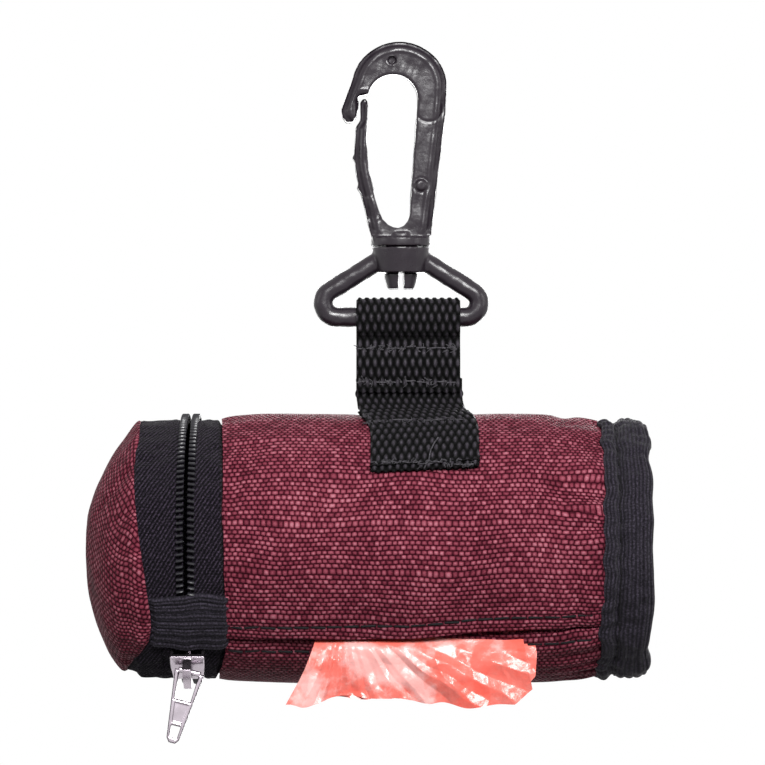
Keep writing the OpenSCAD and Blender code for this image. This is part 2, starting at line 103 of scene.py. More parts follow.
AXIS_Z = middle("zip_tape_pouch", 2)
TAPE_R = half_size("zip_tape_pouch", 2)
WIDE_R = half_size("pouch_panel", 2)
RIM_R = half_size("end_binding", 2)
RIM_X, END_X = span("end_binding", 0)
SEAM_X = span("pouch_panel", 0)[0]
CHAIN_X = (span("zip_coil_cap", 0)[1] + span("zip_coil_pouch", 0)[0]) / 2
DOME_X = span("zip_tape_cap", 0)[0]
TIP_X = span("cap_dome", 0)[0]
DISC_X = span("end_disc", 0)[0]
FOLD_X = span("zip_tab", 0)[0] - 0.3
STRAP_X = middle("strap_loop", 0)
PATCH_X = middle("strap_patch", 0)
FILM_X = middle("bag_tail", 0)
WEB_W = 2 * half_size("strap_loop", 0)
BAR_Z = joint_at("ring_swing")[2]
FOLD_Z = joint_at("strap_fold")[2]
ROLL_Z = joint_at("roll_spin")[2]
PIVOT = joint_at("puller_flip")
EYE_R = span("strap_loop", 2)[1] - BAR_Z

# sizes that the solids' boxes don't give, in millimetres and in degrees below the front
WEB_T = 1.7
TAB_A = (18.7, 45.4)
SLIDER_A = (46.1, 63.1)
COIL_A = (64.9, 378.0)
TOOTH_PITCH = 1.12
TOOTH_L = 1.38
TOOTH_R = 0.31
ROW_OFFSET = 1.0
TAPE_GAP = 0.42
PULLER_L = 13.2
PULLER_TILT = 14
CLOTH_T = 0.5
# the webbing's warp threads, across and along: from one to the next, and half the size of one
WARP_U = (1.39, 0.56)
WARP_V = (3.7, 1.25)

# the photograph's view: the camera's place in millimetres, and the scale in the plane of the hook
CAMERA_X, CAMERA_AWAY, CAMERA_Z = -1.94, 680, -52.3
PIXELS_PER_MM = 5.4
FRAME_PIXELS = 765
SENSOR_W = 36

# lamps: name, place and size in metres, and power in watts
LAMPS = (("key", (0.1, -0.82, 0.37), 0.3, 14.0),
         ("left", (-0.95, -0.3, 0.15), 0.4, 1.3),
         ("right", (0.9, -0.4, 0.2), 0.4, 2.0),
         ("back", (0.1, 0.95, -0.02), 0.6, 9.0))
LAMPS_AIM = (0, 0, -0.07)
FLOOR_R, FLOOR_Z = 0.55, -0.45
# how much light the white surroundings give
WORLD_FILL = 0.045


# ---------- helpers ----------

def around(x, a, r):
    """Points at x, at angle a below the front, at radius r from the pouch's axis."""
    a = np.radians(a)
    return np.stack([x + 0 * a, -r * np.cos(a), AXIS_Z - r * np.sin(a)], axis=-1)


def ripple(x, y, seed, size):
    """Smooth unevenness between about -1 and 1, of a given feature size."""
    waves = 10
    rng = np.random.default_rng(seed)
    total = 0
    for _ in range(waves):
        turn = rng.uniform(0, 2 * math.pi)
        k = 2 * math.pi / (size * rng.uniform(0.7, 1.8))
        total = total + np.sin(k * (x * math.cos(turn) + y * math.sin(turn)) + rng.uniform(0, 6.28))
    return total / math.sqrt(waves) / 1.4


def bell(x, centre, width):
    """1 at the centre, falling off to both sides."""
    return np.exp(-((x - centre) / width) ** 2)


def smooth(x, low, high):
    """0 below low, 1 above high, and an even step between them."""
    t = np.clip((x - low) / (high - low), 0, 1)
    return t * t * (3 - 2 * t)


def off_ends(v, margin):
    """0 at both ends of 0 to 1, and 1 further in than the margin."""
    return smooth(np.minimum(v, 1 - v), 0, margin)


def table_at(x, table):
    """Value at x of a table of (place, value) pairs."""
    return np.interp(x, *zip(*table))


def out_at(a):
    """Direction away from the pouch's axis, at angle a below the front."""
    t = math.radians(a)
    return Vector((0, -math.cos(t), -math.sin(t)))


def deselect():
    bpy.ops.object.select_all(action="DESELECT")


def only(obj):
    deselect()
    obj.select_set(True)
    bpy.context.view_layer.objects.active = obj


def in_edit(obj, *steps):
    """Runs mesh operators on everything in obj."""
    only(obj)
    bpy.ops.object.mode_set(mode="EDIT")
    bpy.ops.mesh.select_all(action="SELECT")
    for step in steps:
        step()
    bpy.ops.object.mode_set(mode="OBJECT")


def weld(obj, distance=1e-6):
    in_edit(obj, lambda: bpy.ops.mesh.remove_doubles(threshold=distance),
            lambda: bpy.ops.mesh.normals_make_consistent(inside=False))


def radial(points):
    """Directions away from the pouch's axis."""
    return points * (0, 1, 1) - (0, 0, AXIS_Z)


def toward_front(points):
    return np.tile((0.0, -1.0, 0.0), (len(points), 1))


def read_points(obj, unit=1000):
    """The vertices' places, in millimetres."""
    points = np.empty(len(obj.data.vertices) * 3)
    obj.data.vertices.foreach_get("co", points)
    return points.reshape(-1, 3) * unit


def write_points(obj, points):
    """Moves the vertices to places in millimetres."""
    obj.data.vertices.foreach_set("co", (points * 0.001).ravel())
    obj.data.update()


def read_normals(obj):
    normals = np.empty(len(obj.data.vertices) * 3)
    obj.data.vertex_normals.foreach_get("vector", normals)
    return normals.reshape(-1, 3)


def face(obj, away=radial):
    """Turns an open sheet's faces so that they look away(points)."""
    if (read_normals(obj) * away(read_points(obj))).sum() < 0:
        in_edit(obj, bpy.ops.mesh.flip_normals)


def use(obj, kind, **values):
    """Adds a modifier, sets it and applies it."""
    only(obj)
    modifier = obj.modifiers.new(kind.title(), kind)
    for key, value in values.items():
        setattr(modifier, key, value)
    bpy.ops.object.modifier_apply(modifier=modifier.name)


def thicken(obj, thickness, offset=-1):
    """Gives a sheet its thickness, in millimetres, on its inner side or, with offset 0, on both."""
    use(obj, "SOLIDIFY", thickness=thickness * 0.001, offset=offset)


def settle(obj):
    """Puts the object at the origin, with its place in its mesh."""
    obj.data.transform(obj.matrix_world)
    obj.matrix_world = Matrix.Identity(4)


def facets(x, y, seed, size, turn=0.5):
    """Flat triangles between points of random height, as in creased film: 0 to 1."""
    heights = np.random.default_rng(seed).random((64, 64))
    c, s = math.cos(turn), math.sin(turn)
    wx = (x * c + y * s) / size + 0.3 * ripple(x, y, seed + 1, size * 1.7)
    wy = (y * c - x * s) / size + 0.3 * ripple(x, y, seed + 2, size * 1.7)
    skew = (wx + wy) * 0.366
    i, j = np.floor(wx + skew), np.floor(wy + skew)
    a, b = wx + skew - i, wy + skew - j
    i, j = i.astype(int), j.astype(int)

    def at(di, dj):
        return heights[(i + di) % 64, (j + dj) % 64]

    first = (1 - a) * at(0, 0) + (a - b) * at(1, 0) + b * at(1, 1)
    second = (1 - b) * at(0, 0) + (b - a) * at(0, 1) + a * at(1, 1)
    return np.where(a > b, first, second)


def cloth_grid(name, across, along, place, size=(1, 1), flat=None):
    """A sheet of quads. place(u, v) gives its points, and size or flat(u, v) its flat pattern, in mm."""
    deselect()
    bpy.ops.mesh.primitive_grid_add(x_subdivisions=across, y_subdivisions=along, size=1, calc_uvs=True)
    obj = bpy.context.object
    obj.name = name
    square = read_points(obj, unit=1)
    write_points(obj, place(square[:, 0] + 0.5, square[:, 1] + 0.5))
    layer = obj.data.uv_layers[0].data
    uv = np.empty(len(layer) * 2)
    layer.foreach_get("uv", uv)
    uv = uv.reshape(-1, 2)
    uv = uv * np.array(size) if flat is None else np.stack(flat(uv[:, 0], uv[:, 1]), axis=-1)
    layer.foreach_set("uv", uv.ravel())
    return obj


def finish_piece(obj, finish, body, *nodes, slot, degrees=60):
    """Gives a piece its finish, and says what it rides on and stands for."""
    obj.data.materials.clear()
    obj.data.materials.append(FINISH[finish])
    only(obj)
    bpy.ops.object.shade_smooth_by_angle(angle=math.radians(degrees))
    settle(obj)
    if body:
        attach(obj, body)
    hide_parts(*nodes)


def joined(name, parts):
    """One mesh from several placed copies."""
    deselect()
    for part in parts:
        part.select_set(True)
    bpy.context.view_layer.objects.active = parts[0]
    bpy.ops.object.join()
    parts[0].name = name
    return parts[0]


def copies(name, pattern, places):
    """Copies of one small mesh at a list of matrices, as one object; pattern is used up."""
    base = read_points(pattern, unit=1)
    faces = [tuple(p.vertices) for p in pattern.data.polygons]
    points, polygons = [], []
    for i, place in enumerate(places):
        m = np.array(place)
        points.append(base @ m[:3, :3].T + m[:3, 3])
        polygons += [tuple(k + i * len(base) for k in f) for f in faces]
    mesh = bpy.data.meshes.new(name)
    mesh.from_pydata(np.concatenate(points).tolist(), [], polygons)
    old = pattern.data
    pattern.data = mesh
    bpy.data.meshes.remove(old)
    pattern.name = name
    pattern.matrix_world = Matrix.Identity(4)
    return pattern


def rod(radius, length, rounding):
    """A short thread or tooth along X with round ends, in millimetres."""
    deselect()
    bpy.ops.mesh.primitive_cylinder_add(vertices=8, radius=radius * 0.001, depth=length * 0.001,
                                        rotation=(0, math.radians(90), 0))
    made = bpy.context.object
    settle(made)
    use(made, "BEVEL", width=rounding * 0.001, segments=2, limit_method="ANGLE",
        angle_limit=math.radians(50))
    return made


def frame_at(origin, along, outward):
    """Matrix whose X is along and Z outward, placed at a point in millimetres."""
    x = Vector(along).normalized()
    z = Vector(outward)
    z = (z - z.dot(x) * x).normalized()
    y = z.cross(x)
    m = Matrix((x, y, z)).transposed().to_4x4()
    m.translation = Vector(origin) * 0.001
    return m


# ---------- materials ----------

class Nodes:
    """Adds nodes to one tree and joins them. Lengths in its coordinates are millimetres."""

    def __init__(self, tree):
        self.tree = tree

    def join(self, source, target):
        if isinstance(source, (int, float, tuple)):
            target.default_value = source
        else:
            self.tree.links.new(source, target)

    def node(self, kind, *inputs, **settings):
        """A node with its settings and its first inputs; None leaves an input as it is."""
        made = self.tree.nodes.new(kind)
        for key, value in settings.items():
            setattr(made, key, value)
        for value, socket in zip(inputs, made.inputs):
            if value is not None:
                self.join(value, socket)
        return made

    def math(self, operation, *values):
        return self.node("ShaderNodeMath", *values, operation=operation).outputs[0]

    def plus(self, a, b):
        return self.math("ADD", a, b)

    def less(self, a, b):
        return self.math("SUBTRACT", a, b)

    def times(self, a, b):
        return self.math("MULTIPLY", a, b)

    def scaled(self, value, by, plus):
        return self.math("MULTIPLY_ADD", value, by, plus)

    def place(self):
        """Object coordinates in millimetres."""
        source = self.node("ShaderNodeTexCoord").outputs["Object"]
        return self.node("ShaderNodeMapping", source, None, None, (1000, 1000, 1000)).outputs[0]

    def uv(self):
        return self.node("ShaderNodeUVMap", uv_map="UVMap").outputs[0]

    def split(self, vector):
        return self.node("ShaderNodeSeparateXYZ", vector).outputs

    def vector(self, x, y):
        return self.node("ShaderNodeCombineXYZ", x, y).outputs[0]

    def noise(self, vector, scale, detail, roughness=0.5):
        return self.node("ShaderNodeTexNoise", vector, None, scale, detail, roughness).outputs["Fac"]

    def ramp(self, value, *stops):
        made = self.node("ShaderNodeValToRGB")
        ramp = made.color_ramp
        while len(ramp.elements) < len(stops):
            ramp.elements.new(0.5)
        for element, (at, colour) in zip(ramp.elements, stops):
            element.position = at
            if isinstance(colour, (int, float)):
                colour = (colour,) * 3
            element.color = (*colour[:3], 1)
        self.join(value, made.inputs[0])
        return made.outputs[0]

    def mix(self, factor, a, b):
        made = self.node("ShaderNodeMix", data_type="RGBA", blend_type="MIX")
        self.join(factor, made.inputs[0])
        for value, socket in ((a, made.inputs[6]), (b, made.inputs[7])):
            if isinstance(value, tuple):
                value = (*value[:3], 1)
            self.join(value, socket)
        return made.outputs[2]

    def between(self, value, low, high, start=0.0, end=1.0):
        """From low to high, as the value goes from start to end."""
        return self.node("ShaderNodeMapRange", value, start, end, low, high).outputs[0]

    def bump(self, height, depth, strength, under=None):
        """Bump from a height between 0 and 1; depth is in millimetres."""
        made = self.node("ShaderNodeBump")
        made.inputs["Strength"].default_value = strength
        made.inputs["Distance"].default_value = depth * 0.001
        self.join(height, made.inputs["Height"])
        if under is not None:
            self.join(under, made.inputs["Normal"])
        return made.outputs[0]

    def seen(self):
        """1 where the camera sees the surface, straight, mirrored or through something clear."""
        path = self.node("ShaderNodeLightPath")
        straight = self.math("MAXIMUM", path.outputs["Is Camera Ray"], path.outputs["Is Glossy Ray"])
        return self.math("MAXIMUM", straight, path.outputs["Is Transmission Ray"])


class Finish(Nodes):
    """One material. Its sockets are named with _ for each space."""

    def __init__(self, name, roughness, metallic=0.0, **sockets):
        self.material = bpy.data.materials.new(name)
        self.material.use_nodes = True
        super().__init__(self.material.node_tree)
        self.inputs = self.tree.nodes["Principled BSDF"].inputs
        for key, value in {"Roughness": roughness, "Metallic": metallic, **sockets}.items():
            self.inputs[key.replace("_", " ")].default_value = value

    def colour(self, value):
        self.join(value, self.inputs["Base Color"])

    def shades(self, value, colour, *stops):
        """Shades of one colour: each stop has its place and its factors."""
        self.colour(self.ramp(value, *((at, tint(colour, *factors)) for at, *factors in stops)))

    def roughness(self, value):
        self.join(value, self.inputs["Roughness"])

    def normal(self, value):
        self.join(value, self.inputs["Normal"])


def tint(colour, red, green=None, blue=None):
    """A colour times one factor, or times one for each channel."""
    factors = (red, red if green is None else green, red if blue is None else blue)
    return tuple(c * k for c, k in zip(colour, factors))


def threads(f, x, period, cells, wide):
    """Counts threads along x, with one thicker thread in each period."""
    t = f.math("DIVIDE", x, period)
    whole = f.math("FLOOR", t)
    part = f.less(t, whole)
    count = f.plus(f.between(part, 0, 1, 0, wide), f.between(part, 0, cells - 1, wide, 1))
    return f.scaled(whole, cells, count)


def pillow(f, x):
    """Half-round across one thread, from its place in the thread, 0 to 1."""
    t = f.scaled(x, 2.0, -1.0)
    return f.math("SQRT", f.math("MAXIMUM", f.scaled(f.times(t, t), -0.98, 1.0), 0.0))


def burgundy_cloth(colour):
    """Coated woven polyester: thick weft threads in a brick pattern, and now and then a thicker one."""
    f = Finish("burgundy_cloth", 0.6, Sheen_Weight=0.01, Sheen_Roughness=0.4,
               Sheen_Tint=(0.95, 0.62, 0.68, 1), Specular_IOR_Level=0.035)
    u, v, _ = f.split(f.uv())

    def wander(vector, quick):
        """How far a thread strays from its straight line."""
        return f.scaled(f.noise(vector, 0.06, 1), 2.0, f.times(f.noise(vector, 0.5, 1), quick))

    row = threads(f, f.plus(v, wander(f.vector(v, u), 0.25)), 9.0, 10, 0.135)
    line = f.math("FLOOR", row)
    shift = f.times(f.math("ABSOLUTE", f.math("MODULO", line, 2.0)), 0.5)
    column = f.plus(threads(f, f.plus(u, wander(f.uv(), 0.3)), 10.4, 10, 0.125), shift)
    cell = f.math("FLOOR", column)
    height = f.times(pillow(f, f.less(column, cell)), pillow(f, f.less(row, line)))
    random = f.node("ShaderNodeTexWhiteNoise", f.vector(cell, line), noise_dimensions="2D")
    strand = f.noise(f.vector(f.times(u, 1.5), f.times(v, 7.0)), 1.4, 3, 0.7)
    patch = f.noise(f.uv(), 0.09, 3, 0.6)
    # the colour follows the threads' height: painted highlight on their tops and painted shade in the gaps,
    # with the cloth's own random tone per cell, along strands and in patches
    tone_and_painted_light = f.times(height, f.scaled(random.outputs[0], 0.4, 0.57))
    tone_and_painted_light = f.plus(tone_and_painted_light, f.scaled(strand, 0.72, -0.36))
    tone_and_painted_light = f.plus(tone_and_painted_light, f.scaled(patch, 0.3, -0.15))
    f.shades(tone_and_painted_light, colour, (0.1, 0.14, 0.1, 0.13), (0.4, 0.5, 0.42, 0.46), (0.62, 1.3, 1.6, 1.4),
             (0.82, 1.95, 3.6, 2.7), (1.0, 2.7, 7.0, 4.8))
    f.roughness(f.between(height, 0.8, 0.46))
    f.normal(f.bump(f.scaled(strand, 0.16, height), 0.3, 0.95))
    return f.material


def webbing_black(colour):
    """Woven polypropylene: long raised warps in a brick pattern, with painted highlights on the warps and
    painted shade between them.
    """
    f = Finish("webbing_black", 0.5, Sheen_Weight=0.02, Specular_IOR_Level=0.07)
    u, v, _ = f.split(f.uv())
    best = None
    for shift in (0.0, 0.5):
        du, dv = (f.times(f.less(f.math("FRACT", f.scaled(at, 1 / step, shift)), 0.5), step / half)
                  for at, step, half in ((u, *WARP_U), (v, *WARP_V)))
        oval = f.less(1.0, f.scaled(du, du, f.times(dv, dv)))
        oval = f.math("MAXIMUM", oval, 0.0)
        best = oval if best is None else f.math("MAXIMUM", best, oval)
    strand = f.math("SINE", f.times(u, 40.0))
    speck = f.noise(f.vector(f.times(u, 3.0), v), 1.6, 4, 0.7)
    # painted highlight on the ovals' tops and painted shade between them, from their height, with random
    # specks of tone
    tone_and_painted_light = f.scaled(f.math("POWER", best, 0.8), 0.78, f.scaled(speck, 0.7, -0.38))
    f.shades(tone_and_painted_light, colour, (0.12, 0.03), (0.45, 0.4), (0.72, 4.0, 3.7, 4.1), (0.92, 14.0, 13.4, 14.4))
    f.roughness(f.between(best, 0.8, 0.42))
    height = f.scaled(strand, 0.25, f.times(speck, 0.6))
    f.normal(f.bump(height, 0.05, 0.8))
    return f.material


def tape_black(colour):
    """Zip tape: a fine twill with loose fibres, and painted highlights on its ribs and on the fibres where
    they would catch the light.
    """
    f = Finish("tape_black", 0.85, Sheen_Weight=0.03, Sheen_Roughness=0.5, Specular_IOR_Level=0.035)
    u, v, _ = f.split(f.uv())
    rib = f.math("SINE", f.times(f.plus(u, f.times(v, 0.6)), 8.5))
    cross = f.math("SINE", f.times(v, 12.0))
    lint_and_glints = f.noise(f.uv(), 2.3, 6, 0.85)
    # painted highlight: a little brighter along the ribs, and much brighter on the lint specks, standing in
    # for light caught by loose fibres
    f.shades(f.scaled(rib, 0.08, lint_and_glints), colour, (0.4, 0.25), (0.53, 1.2, 1.05, 1.2), (0.64, 6.5, 5.4, 6.4))
    height = f.scaled(rib, 0.25, f.scaled(cross, 0.15, f.times(lint_and_glints, 1.6)))
    f.normal(f.bump(height, 0.22, 0.9, f.bump(f.noise(f.uv(), 0.45, 3), 0.8, 0.5)))
    return f.material


def binding_black(colour):
    """Grosgrain binding: fine cross ribs on soft lengthwise cords, with painted highlights on the rib crests
    and on lint specks.
    """
    f = Finish("binding_black", 0.7, Sheen_Weight=0.04, Sheen_Roughness=0.4, Specular_IOR_Level=0.09)
    u, v, _ = f.split(f.uv())
    rib = f.math("ABSOLUTE", f.math("SINE", f.times(v, 4.6)))
    lint_and_glints = f.noise(f.vector(f.times(u, 1.6), v), 1.9, 5, 0.8)
    # painted highlight on the crests of the ribs and on lint specks, painted shade between the ribs
    f.shades(f.scaled(rib, 0.16, lint_and_glints), colour, (0.42, 0.25), (0.6, 1.4, 1.3, 1.45), (0.76, 6.2, 5.8, 6.3))
    f.normal(f.bump(f.scaled(rib, 0.7, f.times(lint_and_glints, 1.0)), 0.26, 0.9,
                    f.bump(f.noise(f.uv(), 0.5, 3), 0.8, 0.5)))
    return f.material


def thread_black(name, colour):
    f = Finish(name, 0.6, Specular_IOR_Level=0.08)
    speck = f.noise(f.place(), 3.0, 2)
    f.shades(speck, colour, (0.35, 0.6), (0.7, 1.5))
    f.normal(f.bump(speck, 0.06, 0.6))
    return f.material


def moulded_black(colour):
    """Moulded plastic with a dull sheen, faint flow marks and tiny scuffs."""
    f = Finish("moulded_black", 0.38, Specular_IOR_Level=0.36)
    flow = f.noise(f.place(), 0.22, 3, 0.6)
    fine = f.noise(f.place(), 6.0, 3, 0.6)
    f.colour(f.mix(f.times(fine, 0.6), colour, tint(colour, 2.0, 1.95, 2.0)))
    f.roughness(f.scaled(flow, 0.3, f.scaled(fine, 0.12, 0.09)))
    f.normal(f.bump(fine, 0.03, 0.5, f.bump(flow, 0.6, 0.35)))
    return f.material


def coil_black(colour):
    f = Finish("coil_black", 0.3)
    fine = f.noise(f.place(), 4.0, 2)
    f.colour(f.mix(fine, tint(colour, 0.7), tint(colour, 1.6, 1.6, 1.7)))
    f.roughness(f.between(fine, 0.22, 0.45))
    f.normal(f.bump(fine, 0.04, 0.4))
    return f.material


def dark_nickel(colour):
    """Plated zinc, slightly cloudy, with fine polishing marks, and painted shade on its walls, edges and
    grooves.
    """
    f = Finish("dark_nickel", 0.26, 1.0)
    cloud = f.noise(f.place(), 0.5, 3)
    marks = f.noise(f.place(), 9.0, 2)
    painted_light = f.node("ShaderNodeAttribute", attribute_name="painted_light").outputs["Fac"]
    bright = f.mix(cloud, tint(colour, 0.85, 0.83, 0.85), tint(colour, 1.15, 1.12, 1.16))
    # painted shade: near black where the stored light value is low, on walls, edges and grooves
    f.colour(f.mix(painted_light, tint(colour, 0.08, 0.07, 0.08), bright))
    f.roughness(f.scaled(cloud, 0.14, f.scaled(marks, 0.1, 0.14)))
    f.normal(f.bump(marks, 0.012, 0.5))
    return f.material


def bag_film(colour):
    """Thin coloured polyethylene, glossy and see-through, paler where it is stretched."""
    f = Finish("bag_film", 0.3, Coat_Weight=0.2, Coat_Roughness=0.22)
    where = f.place()
    broad = f.noise(where, 0.11, 2, 0.5)
    fine = f.noise(where, 0.6, 4, 0.65)
    veil = f.scaled(broad, 0.75, f.times(fine, 0.25))
    f.colour(f.ramp(veil, (0.38, tint(colour, 0.95, 0.75, 0.7)), (0.515, tint(colour, 1.0, 1.35, 1.45)),
                    (0.6, (0.92, 0.45, 0.42))))
    f.join(f.between(veil, 0.95, 0.7, 0.42, 0.64), f.inputs["Alpha"])
    f.normal(f.bump(fine, 0.25, 0.5))
    return f.material


def roll_film(colour):
    """The side of a tight roll of film, with the edges of its layers."""
    f = Finish("roll_film", 0.4)
    _, y, z = f.split(f.place())
    dz = f.less(z, ROLL_Z)
    radius = f.math("SQRT", f.plus(f.times(y, y), f.times(dz, dz)))
    layers = f.math("FRACT", f.times(radius, 3.1))
    fine = f.noise(f.place(), 0.9, 3)
    f.colour(f.mix(f.times(f.plus(layers, fine), 0.5), colour, tint(colour, 1.0, 2.0, 2.0)))
    f.normal(f.bump(f.plus(layers, fine), 0.15, 0.5))
    return f.material


def cardboard(colour):
    f = Finish("cardboard", 0.9)
    fibre = f.noise(f.place(), 2.0, 5, 0.7)
    f.colour(f.mix(fibre, tint(colour, 0.7, 0.7, 0.68), tint(colour, 1.2)))
    f.normal(f.bump(fibre, 0.1, 0.6))
    return f.material


def studio_white():
    """Pale matt surface."""
    f = Finish("studio_white", 0.9)
    pale = f.ramp(f.noise(f.place(), 0.002, 2), (0.3, 0.78), (0.7, 0.8))
    f.colour(f.mix(f.seen(), (0.12, 0.12, 0.12), pale))
    return f.material


FINISH = {}

# the seams wander round the pouch: (angle below the front, place along X)
CAP_SEAM = ((-90, -46.6), (-57, -46.2), (-42, -46.8), (-25, -46.4), (-9, -45.6), (9, -44.5), (26, -43.6),
            (33, -43.5), (41, -44.1), (49, -45.7), (57, -47.1), (70, -48.6), (90, -49.2), (125, -47.6),
            (170, -46.3), (220, -46.9), (270, -46.6))
POUCH_SEAM = ((-90, -31.7), (-50, -30.8), (-20, -30.4), (10, -30.2), (33, -29.9), (48, -30.4),
              (65, -31.7), (90, -32.2), (140, -31.0), (200, -30.6), (240, -31.2), (270, -31.7))
# the cap's own profile: distance past the rim, and how far inside the tape's radius
CAP_PROFILE = ((-6.0, -0.45), (-2.0, -0.45), (0.0, -0.1), (1.0, 0.9), (3.15, 2.7), (5.3, 5.4), (6.6, 7.9),
               (7.7, 10.5), (8.7, 13.6), (9.4, 17.4), (9.55, 21.0), (9.55, 23.8))


def seam(table, a):
    """Place along X of a seam, at angle a below the front."""
    return table_at(np.mod(a + 90, 360) - 90, table)


# ---------- sizes and colours that a user may change ----------

class PouchSizes(bpy.types.PropertyGroup):
    fullness: bpy.props.FloatProperty(
        name="Fullness", description="How far the cloth swells out of round", default=0.45, min=0.0, max=1.0)
    pucker: bpy.props.FloatProperty(
        name="Pucker", description="Depth of the gathers beside the seams, in millimetres",
        default=0.4, min=0.0, max=0.8)
    crumple: bpy.props.FloatProperty(
        name="Crumple", description="Depth of the film's creases, in millimetres",
        default=1.6, min=0.2, max=3.0)


class PouchColours(bpy.types.PropertyGroup):
    cloth: bpy.props.FloatVectorProperty(
        name="Cloth", description="Colour of the woven cloth", subtype="COLOR",
        default=(0.14, 0.0205, 0.0375), min=0, max=1)
    webbing: bpy.props.FloatVectorProperty(
        name="Webbing", description="Colour of the webbing", subtype="COLOR",
        default=(0.0085, 0.008, 0.009), min=0, max=1)
    tape: bpy.props.FloatVectorProperty(
        name="Tape", description="Colour of the zip tape", subtype="COLOR",
        default=(0.008, 0.0072, 0.0095), min=0, max=1)
    plastic: bpy.props.FloatVectorProperty(
        name="Plastic", description="Colour of the moulded hook", subtype="COLOR",
        default=(0.0115, 0.0083, 0.0118), min=0, max=1)
    metal: bpy.props.FloatVectorProperty(
        name="Metal", description="Colour of the zip's slider", subtype="COLOR",
        default=(0.56, 0.51, 0.55), min=0, max=1)
    film: bpy.props.FloatVectorProperty(
        name="Film", description="Colour of the bags", subtype="COLOR",
        default=(0.8, 0.13, 0.095), min=0, max=1)


def sizes():
    return bpy.context.scene.pouch_sizes


def colours():
    return bpy.context.scene.pouch_colours


# ---------- plastic and metal pieces ----------

def dressed_copy(node):
    """A copy of a solid's surface, welded, with large plain faces."""
    deselect()
    obj = NODES[node].copy()
    obj.data = NODES[node].data.copy()
    for key in list(obj.keys()):
        if key.startswith("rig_"):
            del obj[key]
    obj.parent = None
    obj.matrix_world = Matrix.Identity(4)
    bpy.context.scene.collection.objects.link(obj)
    obj.name = node + "_dressed"
    if obj.data.has_custom_normals:
        only(obj)
        bpy.ops.mesh.customdata_custom_splitnormals_clear()
    in_edit(obj, lambda: bpy.ops.mesh.remove_doubles(threshold=1e-6),
            lambda: bpy.ops.mesh.dissolve_limited(angle_limit=math.radians(1.0)))
    return obj


def moulded(name, parts, voxel, rounds):
    """Solids fused into one moulding with softened edges."""
    obj = joined(name, parts) if len(parts) > 1 else parts[0]
    obj.name = name
    settle(obj)
    use(obj, "REMESH", mode="VOXEL", voxel_size=voxel * 0.001)
    use(obj, "SMOOTH", factor=0.5, iterations=rounds)
    return obj


def rim_distance(points, rim):
    """How far each point is from the nearest point of the rim, seen from the front."""
    flat = points * (1, 0, 1)
    edge = flat[rim]
    tree = KDTree(len(edge))
    for i, point in enumerate(edge):
        tree.insert(point, i)
    tree.balance()
    return np.array([tree.find(point)[2] for point in flat])


def shade_points(obj, values):
    """Stores painted light and shade at each point: 0 is painted dark, 1 is full brightness."""
    layer = obj.data.attributes.new("painted_light", "FLOAT", "POINT")
    layer.data.foreach_set("value", np.clip(values, 0, 1).astype(np.float32))


def keep_vertices(obj, wanted, touching=False):
    """Keeps the faces whose vertices are all wanted, or with touching those that have any."""
    only(obj)
    bpy.ops.object.mode_set(mode="EDIT")
    bpy.ops.mesh.select_all(action="DESELECT")
    bpy.ops.object.mode_set(mode="OBJECT")
    mesh = obj.data
    corners = np.empty(len(mesh.loops), dtype=np.int64)
    mesh.loops.foreach_get("vertex_index", corners)
    starts = np.empty(len(mesh.polygons), dtype=np.int64)
    mesh.polygons.foreach_get("loop_start", starts)
    gather = np.logical_or if touching else np.logical_and
    whole = gather.reduceat(wanted[corners], starts)
    mesh.polygons.foreach_set("select", ~whole)
    bpy.ops.object.mode_set(mode="EDIT")
    bpy.ops.mesh.delete(type="FACE")
    bpy.ops.object.mode_set(mode="OBJECT")


SLOT_FOOT = ((-3.5, -17.8), (-2.6, -20.6), (-1.9, -22.2), (-0.9, -23.2), (0.0, -23.65), (0.97, -23.8),
             (2.0, -23.4), (2.8, -22.4), (3.15, -21.2))
HOOK_EYE = (0.9, -1.5)
HOOK_LOW = (-0.5, -19.5)
NOSE_X = -6.2


